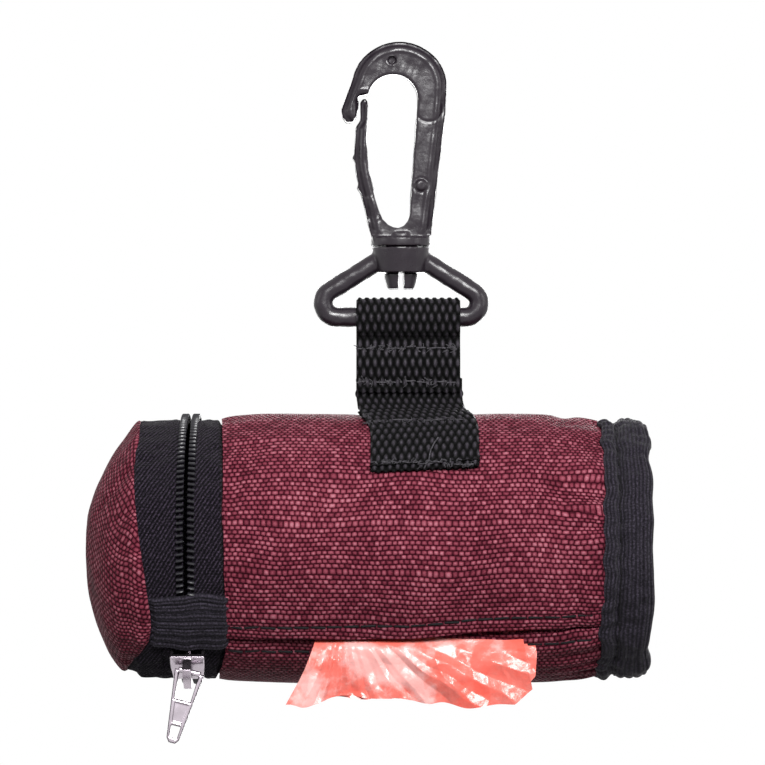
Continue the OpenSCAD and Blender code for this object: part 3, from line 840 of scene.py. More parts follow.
def shape_hook(obj):
    """Chamfered outer edge, a pit and a stud from the mould, nubs on the gate, and slight unevenness."""
    p, n = read_points(obj), read_normals(obj)
    x, y, z = p.T
    t = np.clip((z - HOOK_LOW[1]) / (HOOK_EYE[1] - HOOK_LOW[1]), 0, 1)
    cx, cz = HOOK_LOW[0] + (HOOK_EYE[0] - HOOK_LOW[0]) * t, HOOK_LOW[1] + (HOOK_EYE[1] - HOOK_LOW[1]) * t
    outward = (n[:, 0] * (x - cx) + n[:, 2] * (z - cz)) > 0
    away = rim_distance(p, (np.abs(n[:, 1]) < 0.3) & outward)
    flat = np.abs(n[:, 1]) > 0.5
    above = smooth(z, -25.5, -24.0)
    y = y - np.sign(y) * flat * above * (0.62 * smooth(1.35 - away, 0, 0.9))
    y = y + np.sign(y) * flat * above * 0.1 * bell(away, 1.75, 0.3)
    front = flat & (y < 0)
    pit = np.hypot(x + 0.15, z - 7.45)
    stud = np.hypot(x - 5.2, z + 15.9)
    scar = np.abs(np.hypot(x - 6.6, z + 1.6) - 2.6)
    y = y + front * (0.75 * (1 - smooth(pit, 0.62, 0.85)) - 0.5 * (1 - smooth(stud, 0.75, 1.15)))
    y = y + front * (0.1 * bell(stud, 1.35, 0.2) + 0.12 * bell(scar, 0, 0.22) * (z < -1.0))
    y = y + flat * np.sign(y) * 0.07 * ripple(x, z, 81, 3.2)
    side = (n[:, 0] < -0.5) & (x < -2)
    for at in (-10.8, -16.4):
        x = x - side * 0.38 * bell(z, at, 0.55) * (np.abs(y) < 1.9)
    seam_line = bell(y, 0.5, 0.16) * (np.abs(n[:, 1]) < 0.4) * 0.09
    x, z = x + n[:, 0] * seam_line, z + n[:, 2] * seam_line
    x = x + n[:, 0] * 0.06 * ripple(y, z, 83, 4)
    z = z - 0.5 * smooth(z, 3.0, 11.0)
    # the foot of the slot, where the limb grows out of the body
    foot = table_at(x, SLOT_FOOT)
    z = np.where((x > -3.5) & (x < 3.15) & (z > -25) & (z < -15), np.minimum(z, foot), z)
    write_points(obj, np.stack([x, y, z], axis=-1))


class POUCH_OT_hook(bpy.types.Operator):
    """Snap hook, its flexing gate and the swivel ring"""
    bl_idname = "pouch.hook"
    bl_label = "Snap Hook"

    def execute(self, context):
        root_x, _, root_z = joint_at("gate_flex")
        gate_x, gate_z, gate_y = span("hook_gate", 0), span("hook_gate", 2), span("hook_gate", 1)
        gate = dressed_copy("hook_gate")
        # the tip stands a little clear of the nose, and the root is one with the body
        p = read_points(gate)
        tip = smooth(p[:, 2], -6.0, -3.7)
        p[:, 0] += 0.25 * tip
        p[:, 2] -= 0.25 * tip
        write_points(gate, p)
        deselect()
        bpy.ops.mesh.primitive_cube_add(size=0.001)
        root = context.object
        corner = np.sign(read_points(root))
        thick = (gate_y[1] - gate_y[0]) / 2 + 0.2
        right, top = corner[:, 0] > 0, corner[:, 2] > 0
        root_line = np.where(top, np.where(right, -3.3, -5.35), np.where(right, 0.4, -3.6))
        write_points(root, np.stack([root_line, corner[:, 1] * thick, np.where(top, -18.3, -26.3)], axis=-1))
        whole = moulded("hook_moulding", [dressed_copy("hook_body"), gate, root], 0.2, 7)
        shape_hook(whole)
        only(whole)
        bpy.ops.object.duplicate()
        limb = context.object
        limb.name = "gate_moulding"
        for obj, keep_gate in ((whole, False), (limb, True)):
            x, _, z = read_points(obj).T
            right = table_at(z, ((root_z - 2, root_x + 2.5), (root_z + 2, root_x + 2.6),
                                 (root_z + 6, gate_x[1] + 1.0)))
            nose = (x < NOSE_X) & (z > -5.2)
            inside = (z > root_z - 1.6) & (x < right) & (z < gate_z[1] + 0.15) & ~nose
            keep_vertices(obj, inside if keep_gate else ~inside, touching=not keep_gate)
        finish_piece(whole, "plastic", "hook", "hook_body", slot="hook", degrees=50)
        finish_piece(limb, "plastic", None, "hook_gate", slot="hook", degrees=50)
        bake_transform(limb)
        ring = moulded("ring_moulding", [dressed_copy("swivel_ring")], 0.24, 5)
        p, n = read_points(ring), read_normals(ring)
        p = p + n * 0.05 * ripple(p[:, 0] + p[:, 1], p[:, 2], 85, 3)[:, None]
        write_points(ring, p)
        finish_piece(ring, "plastic", "ring", "swivel_ring", slot="hook", degrees=50)
        return {"FINISHED"}


class POUCH_OT_slider(bpy.types.Operator):
    """Zip slider and its puller"""
    bl_idname = "pouch.slider"
    bl_label = "Slider and Puller"

    def execute(self, context):
        slider = moulded("zip_slider_cast", [dressed_copy("zip_slider")], 0.1, 12)
        p, n = read_points(slider), read_normals(slider)
        # broad shoulders at the front end, drawn in towards the tail
        angle = np.degrees(np.arctan2(AXIS_Z - p[:, 2], -p[:, 1]))
        low, high = SLIDER_A
        part = (angle - low) / (high - low)
        p[:, 0] = PIVOT[0] - 0.4 + (p[:, 0] - PIVOT[0] + 0.4) * (1.0 - 0.1 * smooth(part, 0.25, 0.9))
        write_points(slider, p)
        # painted shade: the slider's side walls get a darker colour than its faces
        wall = 1 - np.abs((n * radial(p)).sum(axis=1)) / np.linalg.norm(radial(p), axis=1)
        shade_points(slider, 1 - 0.75 * smooth(wall, 0.25, 0.8))
        finish_piece(slider, "metal", "slider", "zip_slider", slot="zip_metal", degrees=80)

        puller = moulded("zip_puller_cast", [dressed_copy("zip_puller")], 0.09, 3)
        p, n = read_points(puller), read_normals(puller)
        tilt = math.radians(PULLER_TILT)
        dx, dz = p[:, 0] - PIVOT[0], p[:, 2] - PIVOT[2]
        across = dx * math.cos(tilt) - dz * math.sin(tilt)
        down = -(dx * math.sin(tilt) + dz * math.cos(tilt))
        half = np.interp(down, [0, PULLER_L], [2.7, 1.2])
        away = rim_distance(p, np.abs(n[:, 1]) < 0.35)
        bead = np.sqrt(1 - (1 - np.clip(away / 0.42, 0, 1)) ** 2)
        # a sunk field between the windows, inside a raised rounded frame
        share = down / PULLER_L
        field = smooth(share, 0.43, 0.46) * (1 - smooth(share, 0.70, 0.73))
        field = field * (1 - smooth(np.abs(across), half - 0.85, half - 0.65))
        flat = np.abs(n[:, 1]) > 0.45
        mid = (p[:, 1].min() + p[:, 1].max()) / 2
        p[:, 1] = np.where(flat, mid + np.sign(n[:, 1]) * (0.14 + 0.36 * bead - 0.24 * field), p[:, 1])
        write_points(puller, p)
        use(puller, "SMOOTH", factor=0.5, iterations=2)
        # painted shade: dark on the side walls, along the rims of the faces and in the groove round the sunk
        # field
        groove = 4 * field * (1 - field)
        shade_points(puller, (0.25 + 0.75 * flat * smooth(away, 0.05, 0.3)) * (1 - 0.8 * groove))
        finish_piece(puller, "metal", "puller", "zip_puller", slot="zip_metal", degrees=80)
        return {"FINISHED"}


# ---------- webbing ----------

def warp_height(u, v):
    """Raised warp threads of the webbing: a brick pattern of long ovals, in millimetres."""
    best = np.zeros_like(u)
    for shift in (0.0, 0.5):
        du, dv = ((np.mod(at / step + shift, 1) - 0.5) * step / half
                  for at, step, half in ((u, *WARP_U), (v, *WARP_V)))
        best = np.maximum(best, np.sqrt(np.maximum(0, 1 - du ** 2 - dv ** 2)))
    return best * 0.5 - 0.3


def ribbon(name, length, path, width, centre, lean=None):
    """Webbing along a path of (y, z) from polyline_path: centre(s) is its place along X, lean its tilt."""
    def place(u, v):
        side = (u - 0.5) * width
        s = v * length
        y, z, ny, nz = path(s)
        h = warp_height(side, s)
        edge = smooth(np.abs(u - 0.5) * width, width / 2 - 0.5, width / 2)
        h = h * (1 - edge) - 0.35 * edge
        x = centre(s) + side
        if lean is not None:
            y, z = y + 0 * s, z + lean(side, s)
        return np.stack([x, y + ny * h, z + nz * h], axis=-1)

    return cloth_grid(name, int(width / 0.19), int(length / 0.24), place, (width, length))


def polyline_path(points):
    """A smooth path past points of two coordinates: its length, and its point and outward side at s."""
    pts = np.array(points, float)
    for _ in range(4):
        cut = [pts[0]]
        for a, b in zip(pts[:-1], pts[1:]):
            cut += [a * 0.75 + b * 0.25, a * 0.25 + b * 0.75]
        cut.append(pts[-1])
        pts = np.array(cut)
    step = np.linalg.norm(np.diff(pts, axis=0), axis=1)
    at = np.concatenate([[0], np.cumsum(step)])
    tangent = np.gradient(pts, at, axis=0)
    tangent /= np.linalg.norm(tangent, axis=1)[:, None]

    def find(s):
        y, z = np.interp(s, at, pts[:, 0]), np.interp(s, at, pts[:, 1])
        ty, tz = np.interp(s, at, tangent[:, 0]), np.interp(s, at, tangent[:, 1])
        n = np.hypot(ty, tz)
        return y, z, -tz / n, ty / n

    return float(at[-1]), find


def off_bar(points):
    """Directions away from the ring's bar and from between the webbing's legs."""
    return np.stack([0 * points[:, 1], points[:, 1], np.maximum(points[:, 2] - BAR_Z, 0)], axis=-1)


class POUCH_OT_strap(bpy.types.Operator):
    """Webbing loop through the ring, and its end sewn to the pouch"""
    bl_idname = "pouch.strap"
    bl_label = "Webbing"

    def execute(self, context):
        r = EYE_R - 0.25
        half = WEB_T / 2
        low, high = span("strap_loop_stitches", 2)
        # from the end of the short front leg up, over the bar, and down the back
        turn = [(r * math.cos(t), BAR_Z + r * math.sin(t)) for t in np.radians(np.arange(205, -26, -10))]
        leg = -half * 3 + 0.15
        front = [(leg + 0.5, low - 1.5), (leg + 0.1, low - 0.9), (leg + 0.35, low + 0.3),
                 (leg - 0.25, low + 2.2), (leg - 0.25, high - 2.0), (leg + 0.5, high - 0.1),
                 (leg + 1.1, high + 0.9), (leg + 0.9, high + 1.9), (leg - 0.1, BAR_Z - 3.2)]
        back = [(half * 1.4, BAR_Z - 4.4), (half, BAR_Z - 6.5), (half, FOLD_Z + 3), (half, FOLD_Z + 0.2)]
        loop = ribbon("webbing_loop", *polyline_path(front + turn + back), WEB_W - 0.8,
                      lambda s: STRAP_X + 0.42 + 0 * s)
        face(loop, off_bar)
        thicken(loop, 1.3)
        finish_piece(loop, "webbing", "strap", "strap_loop", slot="webbing")

        # from its folded end on the front of the pouch up to the fold, and on to the stitches
        out = WIDE_R + 1.05
        arc = [(-out * math.cos(t), AXIS_Z - out * math.sin(t))
               for t in np.radians(np.arange(-36.5, -85, -5))]
        folded = [(arc[0][0] + 0.9, arc[0][1] - 0.3), (arc[0][0] + 0.25, arc[0][1] - 0.55)]
        rise = [(-1.6, FOLD_Z - 0.7), (-0.95, FOLD_Z + 0.2), (-0.85, FOLD_Z + 1.8), (-0.85, low + 1.0)]
        length, path = polyline_path(folded + arc + rise)

        def centre(s):
            return STRAP_X + 0.6 + (PATCH_X - STRAP_X - 0.1) * smooth(length - s, 2.0, 18)

        patch = ribbon("webbing_patch", length, path, WEB_W - 0.4, centre,
                       lambda side, s: side * 0.06 * smooth(length - s, 4, 14))
        face(patch)
        thicken(patch, 1.2)
        finish_piece(patch, "webbing", None, "strap_patch", slot="webbing")
        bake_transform(patch)
        return {"FINISHED"}


# ---------- pouch cloth ----------

CAP_LENGTH, CAP_LINE = polyline_path(CAP_PROFILE)


def panel_radius(x, a):
    """Outside radius of the panel, with its swell, gathers and wrinkles."""
    edge = seam(POUCH_SEAM, a)
    from_zip = x - edge
    to_rim = RIM_X + 1 - x
    arc = np.radians(a) * WIDE_R
    base = WIDE_R - 0.1 - 0.9 * np.exp(-from_zip / 4.0) - 2.0 * np.exp(-np.maximum(to_rim, 0) / 5.5)
    amount = sizes().fullness
    swell = ripple(x, arc, 3, 34) * 0.55 + ripple(x, arc, 4, 13) * 0.25 + ripple(x, arc, 8, 6) * 0.07
    near_rim = np.exp(-np.maximum(to_rim, 0) / 8.0)
    near_zip = np.exp(-from_zip / 3.5)
    skewed = np.radians(a) * 13 + 0.10 * (x - RIM_X) + ripple(0 * x, arc, 5, 22) * 2.2
    gather = np.abs(np.sin(skewed)) ** 0.8 * 1.5 - 0.9 + ripple(x * 0.6, arc, 6, 7) * 0.5
    gather_zip = np.sin(np.radians(a) * 24 + ripple(0 * x, arc, 9, 16) * 2) * 0.5
    gather_zip = gather_zip + ripple(0 * x, arc, 7, 6) * 0.6
    pucker = sizes().pucker
    r = base + amount * swell * (1 - near_rim) - amount * 0.45
    r = r + pucker * (1.5 * near_rim * gather + 0.7 * near_zip * gather_zip)
    # a soft fold beside the binding, a slanting one, and the edge turned in at the zip
    beside = bell(x, RIM_X - 6.0 + 1.5 * np.sin(np.radians(a) * 2), 1.8)
    r = r - 0.8 * beside * (0.5 + 0.5 * np.sin(np.radians(a) * 3 + 1))
    slanting = bell(x + 0.35 * arc, RIM_X - 15 + 0.7 * ripple(arc, 0 * x, 17, 12), 1.6)
    r = r - 0.5 * slanting * smooth(a % 360, 300, 330)
    low = TAPE_R + 0.15
    lift = 1 - np.exp(-np.maximum(from_zip, 0) / 0.45)
    r = np.minimum(low + (r - low) * lift, WIDE_R + 0.3)
    return r - 1.3 * smooth(x, RIM_X + 0.2, RIM_X + 1.4)


LIP_UP = ((SEAM_X - 2, 40.8), (-24, 39.8), (-9, 38.4), (4.7, 37.4), (15, 35.2), (26, 33.8), (34, 34.3),
          (RIM_X + 4, 35.2))
LIP_LOW = ((SEAM_X - 2, 42.6), (-24, 41.8), (-14, 41.6), (4.7, 40.8), (15, 38.6), (25, 36.4), (34, 36.0),
           (RIM_X + 4, 36.9))
LOWER_TUCK = 31.5
UP_HEM, LOW_HEM = 6.6, 5.6


class POUCH_OT_panel(bpy.types.Operator):
    """Main panel of woven cloth, with its hemmed slit"""
    bl_idname = "pouch.panel"
    bl_label = "Pouch Panel"

    def execute(self, context):
        x1 = RIM_X + 3.5
        low_turn, up_turn = 0.06, 0.05

        def lay(u, v):
            """Place along X and angle of a point of the cloth, and how far it has turned in at each lip."""
            into_low = np.clip((low_turn - v) / low_turn, 0, 1)
            into_up = np.clip((v - 1 + up_turn) / up_turn, 0, 1)
            t = np.clip((v - low_turn) / (1 - low_turn - up_turn), 0, 1)
            guess = 40 + 360 * t
            x0 = seam(POUCH_SEAM, guess)
            x = x0 + (x1 - x0) * u
            lower, upper = table_at(x, LIP_LOW), 360 + table_at(x, LIP_UP)
            return x, lower, upper, lower + (upper - lower) * t, into_low, into_up

        def place(u, v):
            x, lower, upper, a, into_low, into_up = lay(u, v)
            # the lower edge runs up behind the upper lip, the upper one turns in and back
            a = a - into_low * (lower - LOWER_TUCK) - into_up * 8.0
            r = panel_radius(x, a)
            r = r - (0.35 + 0.55 * bell(x, FILM_X, 24)) * bell(a, lower, 5.5)
            r = r - into_low * 1.6 - 0.35 * smooth(into_low, 0, 0.15)
            r = r + 0.4 * bell(a, upper, 6) * (into_up == 0) * bell(x, FILM_X, 22)
            r = r - smooth(into_up, 0, 0.12) * 1.25
            # the rows of stitching draw the hems in
            r = r - 0.3 * bell(a, upper - UP_HEM, 0.8) * (into_up == 0)
            r = r - 0.25 * bell(a, lower + LOW_HEM, 0.8) * (into_low == 0)
            return around(x, a, r)

        def flat(u, v):
            x, _, _, a, into_low, into_up = lay(u, v)
            arc = np.radians(a - into_low * 10 + into_up * 8) * WIDE_R
            near = np.exp(-np.maximum(RIM_X + 2 - x, 0) / 7.0)
            drag = 1.1 * np.sin(np.radians(a) * 13 + ripple(0 * x, arc, 5, 22) * 2.2) * near
            return x + 0.8 * near * ripple(x, arc, 12, 9), arc + drag + 0.25 * ripple(x, arc, 13, 18)

        panel = cloth_grid("panel_cloth", 132, 368, place, flat=flat)
        weld(panel, 1e-8)
        face(panel)
        thicken(panel, CLOTH_T)
        finish_piece(panel, "cloth", "pouch", "pouch_panel", "upper_hem", "lower_hem", slot="shell")
        return {"FINISHED"}


def cap_shell(s):
    """Place along X and radius of the cap's shell, s millimetres along CAP_PROFILE."""
    depth, inset = CAP_LINE(s)[:2]
    return DOME_X - depth, TAPE_R - inset


def drooped(x, a, r):
    """Points of the cap, which hangs a little lower towards its tip."""
    points = around(x, a, r)
    points[..., 2] -= 1.35 * smooth(DOME_X - x, 0.2, 4.0) - 0.7 * smooth(DOME_X - x, 6.0, 10.0)
    return points


class POUCH_OT_cap(bpy.types.Operator):
    """Domed cap of woven cloth"""
    bl_idname = "pouch.cap"
    bl_label = "Cap"

    def execute(self, context):
        s_all = np.linspace(0, CAP_LENGTH, 400)
        depth_all = CAP_LINE(s_all)[0]

        def start(a):
            """Distance along the profile at which the cloth begins."""
            return np.interp(DOME_X - seam(CAP_SEAM, a), depth_all[:300], s_all[:300])

        def lay(u, v):
            a = 360 * u - 90
            s0 = start(a)
            return a, s0, s0 + (CAP_LENGTH - s0) * v

        def place(u, v):
            a, s0, s = lay(u, v)
            x, r = cap_shell(s)
            arc = np.radians(a)
            inside = s - s0
            puff = 1 - np.exp(-inside / 0.8)
            folds = np.sin(arc * 17 + 2 * np.sin(arc * 3)) * 0.55 + np.sin(arc * 29 + 1) * 0.35
            pleat = np.exp(-inside / 4.5)
            out = 0.75 * puff + sizes().pucker * folds * pleat * puff * 1.3
            y2, z2 = r * np.cos(arc), r * np.sin(arc)
            far = smooth(inside, 3, 9)
            out = out + 0.22 * ripple(y2, z2, 11, 17) * far + 0.1 * ripple(y2, z2, 14, 6) * far
            # one long crease at the top front
            crease = bell(a, -42 + inside * 0.8, 2.6)
            out = out - 0.5 * crease * smooth(inside, 0.5, 2) * (1 - smooth(inside, 9, 13))
            lean = smooth(s, 6.0, 26.0)
            x = x - out * lean
            r = np.maximum(r + out * (1 - lean), 0)
            return drooped(np.maximum(x, TIP_X - 0.4), a, r)

        def flat(u, v):
            a, s0, s = lay(u, v)
            reach = CAP_LENGTH - s
            arc = np.radians(a)
            drag = np.exp(-(s - s0) / 5.0)
            turn = arc + drag * 0.016 * np.sin(arc * 17 + 2 * np.sin(arc * 3))
            return reach * np.sin(turn + 0.9), reach * np.cos(turn + 0.9)

        dome = cloth_grid("cap_cloth", 300, 110, place, flat=flat)
        weld(dome)
        thicken(dome, 0.6)
        finish_piece(dome, "cloth", "cap", "cap_dome", slot="shell", degrees=70)
        return {"FINISHED"}


class POUCH_OT_end(bpy.types.Operator):
    """Round end disc and the ribbed binding over its seam"""
    bl_idname = "pouch.end"
    bl_label = "Bound End"

    def execute(self, context):

        def disc_place(u, v):
            a = 360 * u
            r = np.clip(v * 1.12, 0, 1) * (RIM_R - 2.8)
            arc = np.radians(a)
            x = DISC_X + 0.3 + 2.4 * smooth(v, 0.86, 1.0)
            return around(x + 0.35 * ripple(r * np.cos(arc), r * np.sin(arc), 21, 16), a, r)

        def disc_flat(u, v):
            _, y, z = disc_place(u, v).T
            return y, z - AXIS_Z

        disc = cloth_grid("end_cloth", 128, 40, disc_place, flat=disc_flat)
        weld(disc)
        thicken(disc, CLOTH_T, offset=0)
        finish_piece(disc, "cloth", "pouch", "end_disc", slot="shell", degrees=70)

        outer = RIM_R - 0.15
        profile = [(RIM_X + 0.2, outer - 1.3), (RIM_X - 0.1, outer - 0.6), (RIM_X + 0.7, outer - 0.1),
                   (RIM_X + 2.1, outer - 0.15), (RIM_X + 3.0, outer - 1.15), (RIM_X + 3.7, outer - 0.1),
                   (END_X - 1.6, outer + 0.05), (END_X - 0.1, outer - 0.7), (END_X + 0.3, outer - 1.9),
                   (END_X - 0.3, outer - 2.9), (END_X - 1.4, outer - 3.4), (DISC_X + 2.2, outer - 3.5)]
        length, path = polyline_path(profile)

        def bind_place(u, v):
            a = 180 + 360 * u
            even = off_ends(u, 0.04)
            s = v * length
            x, r, _, _ = path(s)
            arc = np.radians(a)
            round_ = arc * RIM_R
            ribs = np.abs(np.sin((s - 0.4) * math.pi / 1.5)) ** 0.6
            main = smooth(s, 3.6, 4.6) * (1 - smooth(s, 10.5, 12.0))
            hem = (1 - smooth(s, 2.6, 3.4))
            scallop = np.sin(round_ * 2 * math.pi / 2.6 + 2 * np.sin(arc * 5)) * 0.5 + 0.5
            r = r + 0.34 * (ribs - 0.7) * main + 0.22 * scallop * hem
            wave = even * (ripple(round_, s * 0.5, 31, 9) * 0.36 + ripple(round_, s, 32, 3.5) * 0.22)
            inward = even * (1 - smooth(s, 2, 9))
            x = x + (ripple(round_, 0 * s, 33, 9) * 0.55 + ripple(round_, 0 * s, 34, 3) * 0.25) * inward
            x = x + even * 0.45 * ripple(round_, 0 * s, 35, 12) * smooth(s, 5, 11) + 0.35
            x = x - 0.5 * np.maximum(np.sin(arc), 0) * (1 - smooth(s, 4, 12))
            return around(x, a, r + wave * smooth(s, 0.3, 2) * (1 - smooth(s, 12, 14)))

        binding = cloth_grid("end_binding_tape", 420, 110, bind_place, (2 * math.pi * RIM_R, length))
        weld(binding, 1e-7)
        face(binding)
        thicken(binding, 0.45)
        finish_piece(binding, "binding", "pouch", "end_binding", slot="webbing")
        return {"FINISHED"}


# ---------- zip ----------

def tape_radius(x, a, seed, edge, ends):
    """Radius of the zip tape: flat beside the coil, rippled towards its seam, and even at its own ends."""
    arc = np.radians(a) * TAPE_R
    away = np.abs(x - CHAIN_X)
    loose = smooth(away, 2.2, 4.2)
    r = TAPE_R - 0.15 + ends * loose * (0.22 * ripple(x, arc, seed, 7) + 0.1 * ripple(x, arc, seed + 3, 3))
    r = r + ends * 0.28 * np.exp(-np.abs(x - edge) / 2.2) * ripple(0 * x, arc, seed + 1, 4.5)
    return r + 0.18 * bell(away, 3.0, 0.5)


def lean(a):
    """Sideways lean of the chain round the pouch."""
    return 0.13 * np.sin(np.radians(a))


class POUCH_OT_tapes(bpy.types.Operator):
    """Both zip tapes and the lap that stays with the pouch"""
    bl_idname = "pouch.tapes"
    bl_label = "Zip Tapes"

    def execute(self, context):
        lap0, lap1 = TAB_A[0] - 0.6, COIL_A[0] - 0.1

        def build(name, edges, a0, a1, seed, shell=False, across=30):
            """edges(a) gives the tape's two sides; a shell follows the cap's profile past its rim."""
            def place(u, v):
                a = a0 + (a1 - a0) * v
                x0, x1 = edges(a)
                x = x0 + (x1 - x0) * u
                r = tape_radius(x, a, seed, x0 if shell else x1, off_ends(v, 0.03))
                if name == "tape_pouch_cloth":
                    # its sewn edge lies under the panel
                    r = r - 1.0 * smooth(x, x1 - 1.9, x1 - 1.2)
                if shell:
                    inset = table_at(DOME_X - x, CAP_PROFILE[1:6])
                    r = r - np.maximum(inset + 0.1, 0) * smooth(DOME_X - x, -0.2, 1.0)
                    return drooped(x, a, r)
                return around(x, a, r)

            def flat(u, v):
                a = a0 + (a1 - a0) * v
                x0, x1 = edges(a)
                return x0 + (x1 - x0) * u, np.radians(a) * TAPE_R

            rows = max(12, int(abs(a1 - a0) / 1.1))
            return cloth_grid(name, across, rows, place, flat=flat)

        def pouch_edges(a):
            return CHAIN_X + lean(a) + TAPE_GAP, seam(POUCH_SEAM, a) + 1.2

        def lap_edges(a):
            return FOLD_X + 0.08 + 0 * a, CHAIN_X + lean(a) - TAPE_GAP

        def cap_edges(a):
            return np.minimum(seam(CAP_SEAM, a) - 1.3, DOME_X + 0.5), CHAIN_X + lean(a) - TAPE_GAP

        def notch_edges(a):
            return np.minimum(seam(CAP_SEAM, a) - 1.3, DOME_X + 0.5), FOLD_X - 0.04 + 0 * a

        pouch_tape = build("tape_pouch_cloth", pouch_edges, 180, 540, 41)
        lap = build("tape_lap_cloth", lap_edges, TAB_A[0] - 0.3, COIL_A[0] - 0.4, 43, across=16)
        main = build("tape_cap_cloth", cap_edges, lap1, 360 + lap0, 45, shell=True)
        notch = build("tape_cap_notch", notch_edges, lap0, lap1, 45, shell=True, across=20)
        for tape, body, node in ((pouch_tape, "pouch", "zip_tape_pouch"), (lap, "pouch", "zip_tape_lap"),
                                 (joined("tape_cap_cloth", [main, notch]), "cap", "zip_tape_cap")):
            weld(tape, 1e-7)
            face(tape)
            thicken(tape, CLOTH_T)
            finish_piece(tape, "tape", body, node, slot="tape")
        return {"FINISHED"}


class POUCH_OT_coils(bpy.types.Operator):
    """Both rows of the zip's coil"""
    bl_idname = "pouch.coils"
    bl_label = "Zip Coils"

    def execute(self, context):
        middle_r = TAPE_R + 0.52
        pitch = math.degrees(TOOTH_PITCH / middle_r)
        count = int((COIL_A[1] - COIL_A[0]) / pitch)
        sideways = Vector((1, 0, 0))
        for side, body, node in ((1, "pouch", "zip_coil_pouch"), (-1, "cap", "zip_coil_cap")):
            tooth = rod(TOOTH_R, TOOTH_L, 0.18)
            tooth.data.transform(Matrix.Diagonal((1, 1, 1.65, 1)))
            places = []
            for i in range(count):
                a = COIL_A[0] + (i + 0.5 + side * 0.22) * pitch
                out = out_at(a)
                along = sideways + sideways.cross(out) * 0.16 * side
                centre = Vector((CHAIN_X + lean(a) + side * ROW_OFFSET, 0, AXIS_Z)) + out * (middle_r + 0.05)
                places.append(frame_at(centre, along, out))
            finish_piece(copies(f"coil_{body}", tooth, places), "coil", body, node, slot="coil", degrees=50)
        return {"FINISHED"}


class POUCH_OT_tab(bpy.types.Operator):
    """Ribbed elastic over the ends of the zip"""
    bl_idname = "pouch.tab"
    bl_label = "Elastic Tab"

    def execute(self, context):
        x0, x1 = span("zip_tab_cap_end", 0)[0] + 1.6, SEAM_X + 0.6
        a0, a1 = TAB_A

        def place(u, v):
            a = a0 + (a1 - a0) * v
            left = x0 + 0.9 * np.sin(v * 2.6 + 0.3)
            right = seam(POUCH_SEAM, a) + 0.5
            x = left + (right - left) * u
            a = a - 1.6 * bell(x, CHAIN_X + 2, 3.5) * (1 - v) + 1.6 * np.sin((u - 0.3) * 3.0) * (v - 0.3)
            ribs = np.abs(np.sin(v * math.pi * 7)) ** 0.7
            knit = np.sin(x * 2 * math.pi / 0.8 + v * 40) * 0.05
            over = bell(x, CHAIN_X, 2.4)
            r = TAPE_R + 0.55 + 0.42 * over + 0.3 * (ribs - 0.5) + knit * ribs
            r = r + 0.15 * ripple(x, a * 0.4, 51, 5)
            ends = smooth(x, left, left + 1.2) * (1 - smooth(x, right - 1.0, right))
            r = r - 0.75 * (1 - ends) - 0.4 * (1 - off_ends(v, 0.04))
            return around(x, a, r)

        tab = cloth_grid("elastic_tab", 110, 98, place, (x1 - x0, math.radians(a1 - a0) * TAPE_R))
        face(tab)
        thicken(tab, CLOTH_T)
        finish_piece(tab, "binding", None, "zip_tab", "zip_tab_cap_end", slot="webbing")
        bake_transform(tab)
        return {"FINISHED"}


# ---------- thread ----------

def on_cloth(obj, point, out):
    """Where a line through point, coming in from outside, meets a piece."""
    out = Vector(out).normalized()
    start = Vector(point) * 0.001 + out * 0.02
    hit, place, _, _ = obj.ray_cast(start, -out)
    return Vector(place) * 1000 if hit else Vector(point)


def threads_laid(name, spots, pattern, body, node, finish):
    """Copies of one thread at a list of (point, direction, outward), slightly uneven, as one piece."""
    rng = np.random.default_rng(len(spots))
    places = []
    for point, along, out in spots:
        jitter = Vector(rng.uniform(-1, 1, 3))
        way = Vector(along).normalized() + jitter * 0.08
        places.append(frame_at(Vector(point) + jitter * 0.06, way, out))
    row = copies(name, pattern, places)
    finish_piece(row, finish, body, node, slot="thread")
    return row


def stitch_pattern(length, radius):
    return rod(radius, length, radius * 0.7)


def fibre_pattern():
    """A loose fibre: a thin flattened ring standing on the cloth."""
    deselect()
    bpy.ops.mesh.primitive_torus_add(major_segments=14, minor_segments=4, major_radius=0.0005,
                                     minor_radius=0.00006, rotation=(math.radians(90), 0, 0))
    pattern = bpy.context.object
    settle(pattern)
    pattern.data.transform(Matrix.Diagonal((1, 1, 0.5, 1)))
    return pattern


def sewn_line(piece, line, reach):
    """Stitches end to end along a line of (place along X, angle), where it meets a piece."""
    spots, last = [], None
    for x, a in line:
        out = out_at(a)
        place = on_cloth(piece, around(x, a, reach), out)
        if last is not None:
            spots.append(((place + last) / 2, place - last, out))
        last = place
    return spots


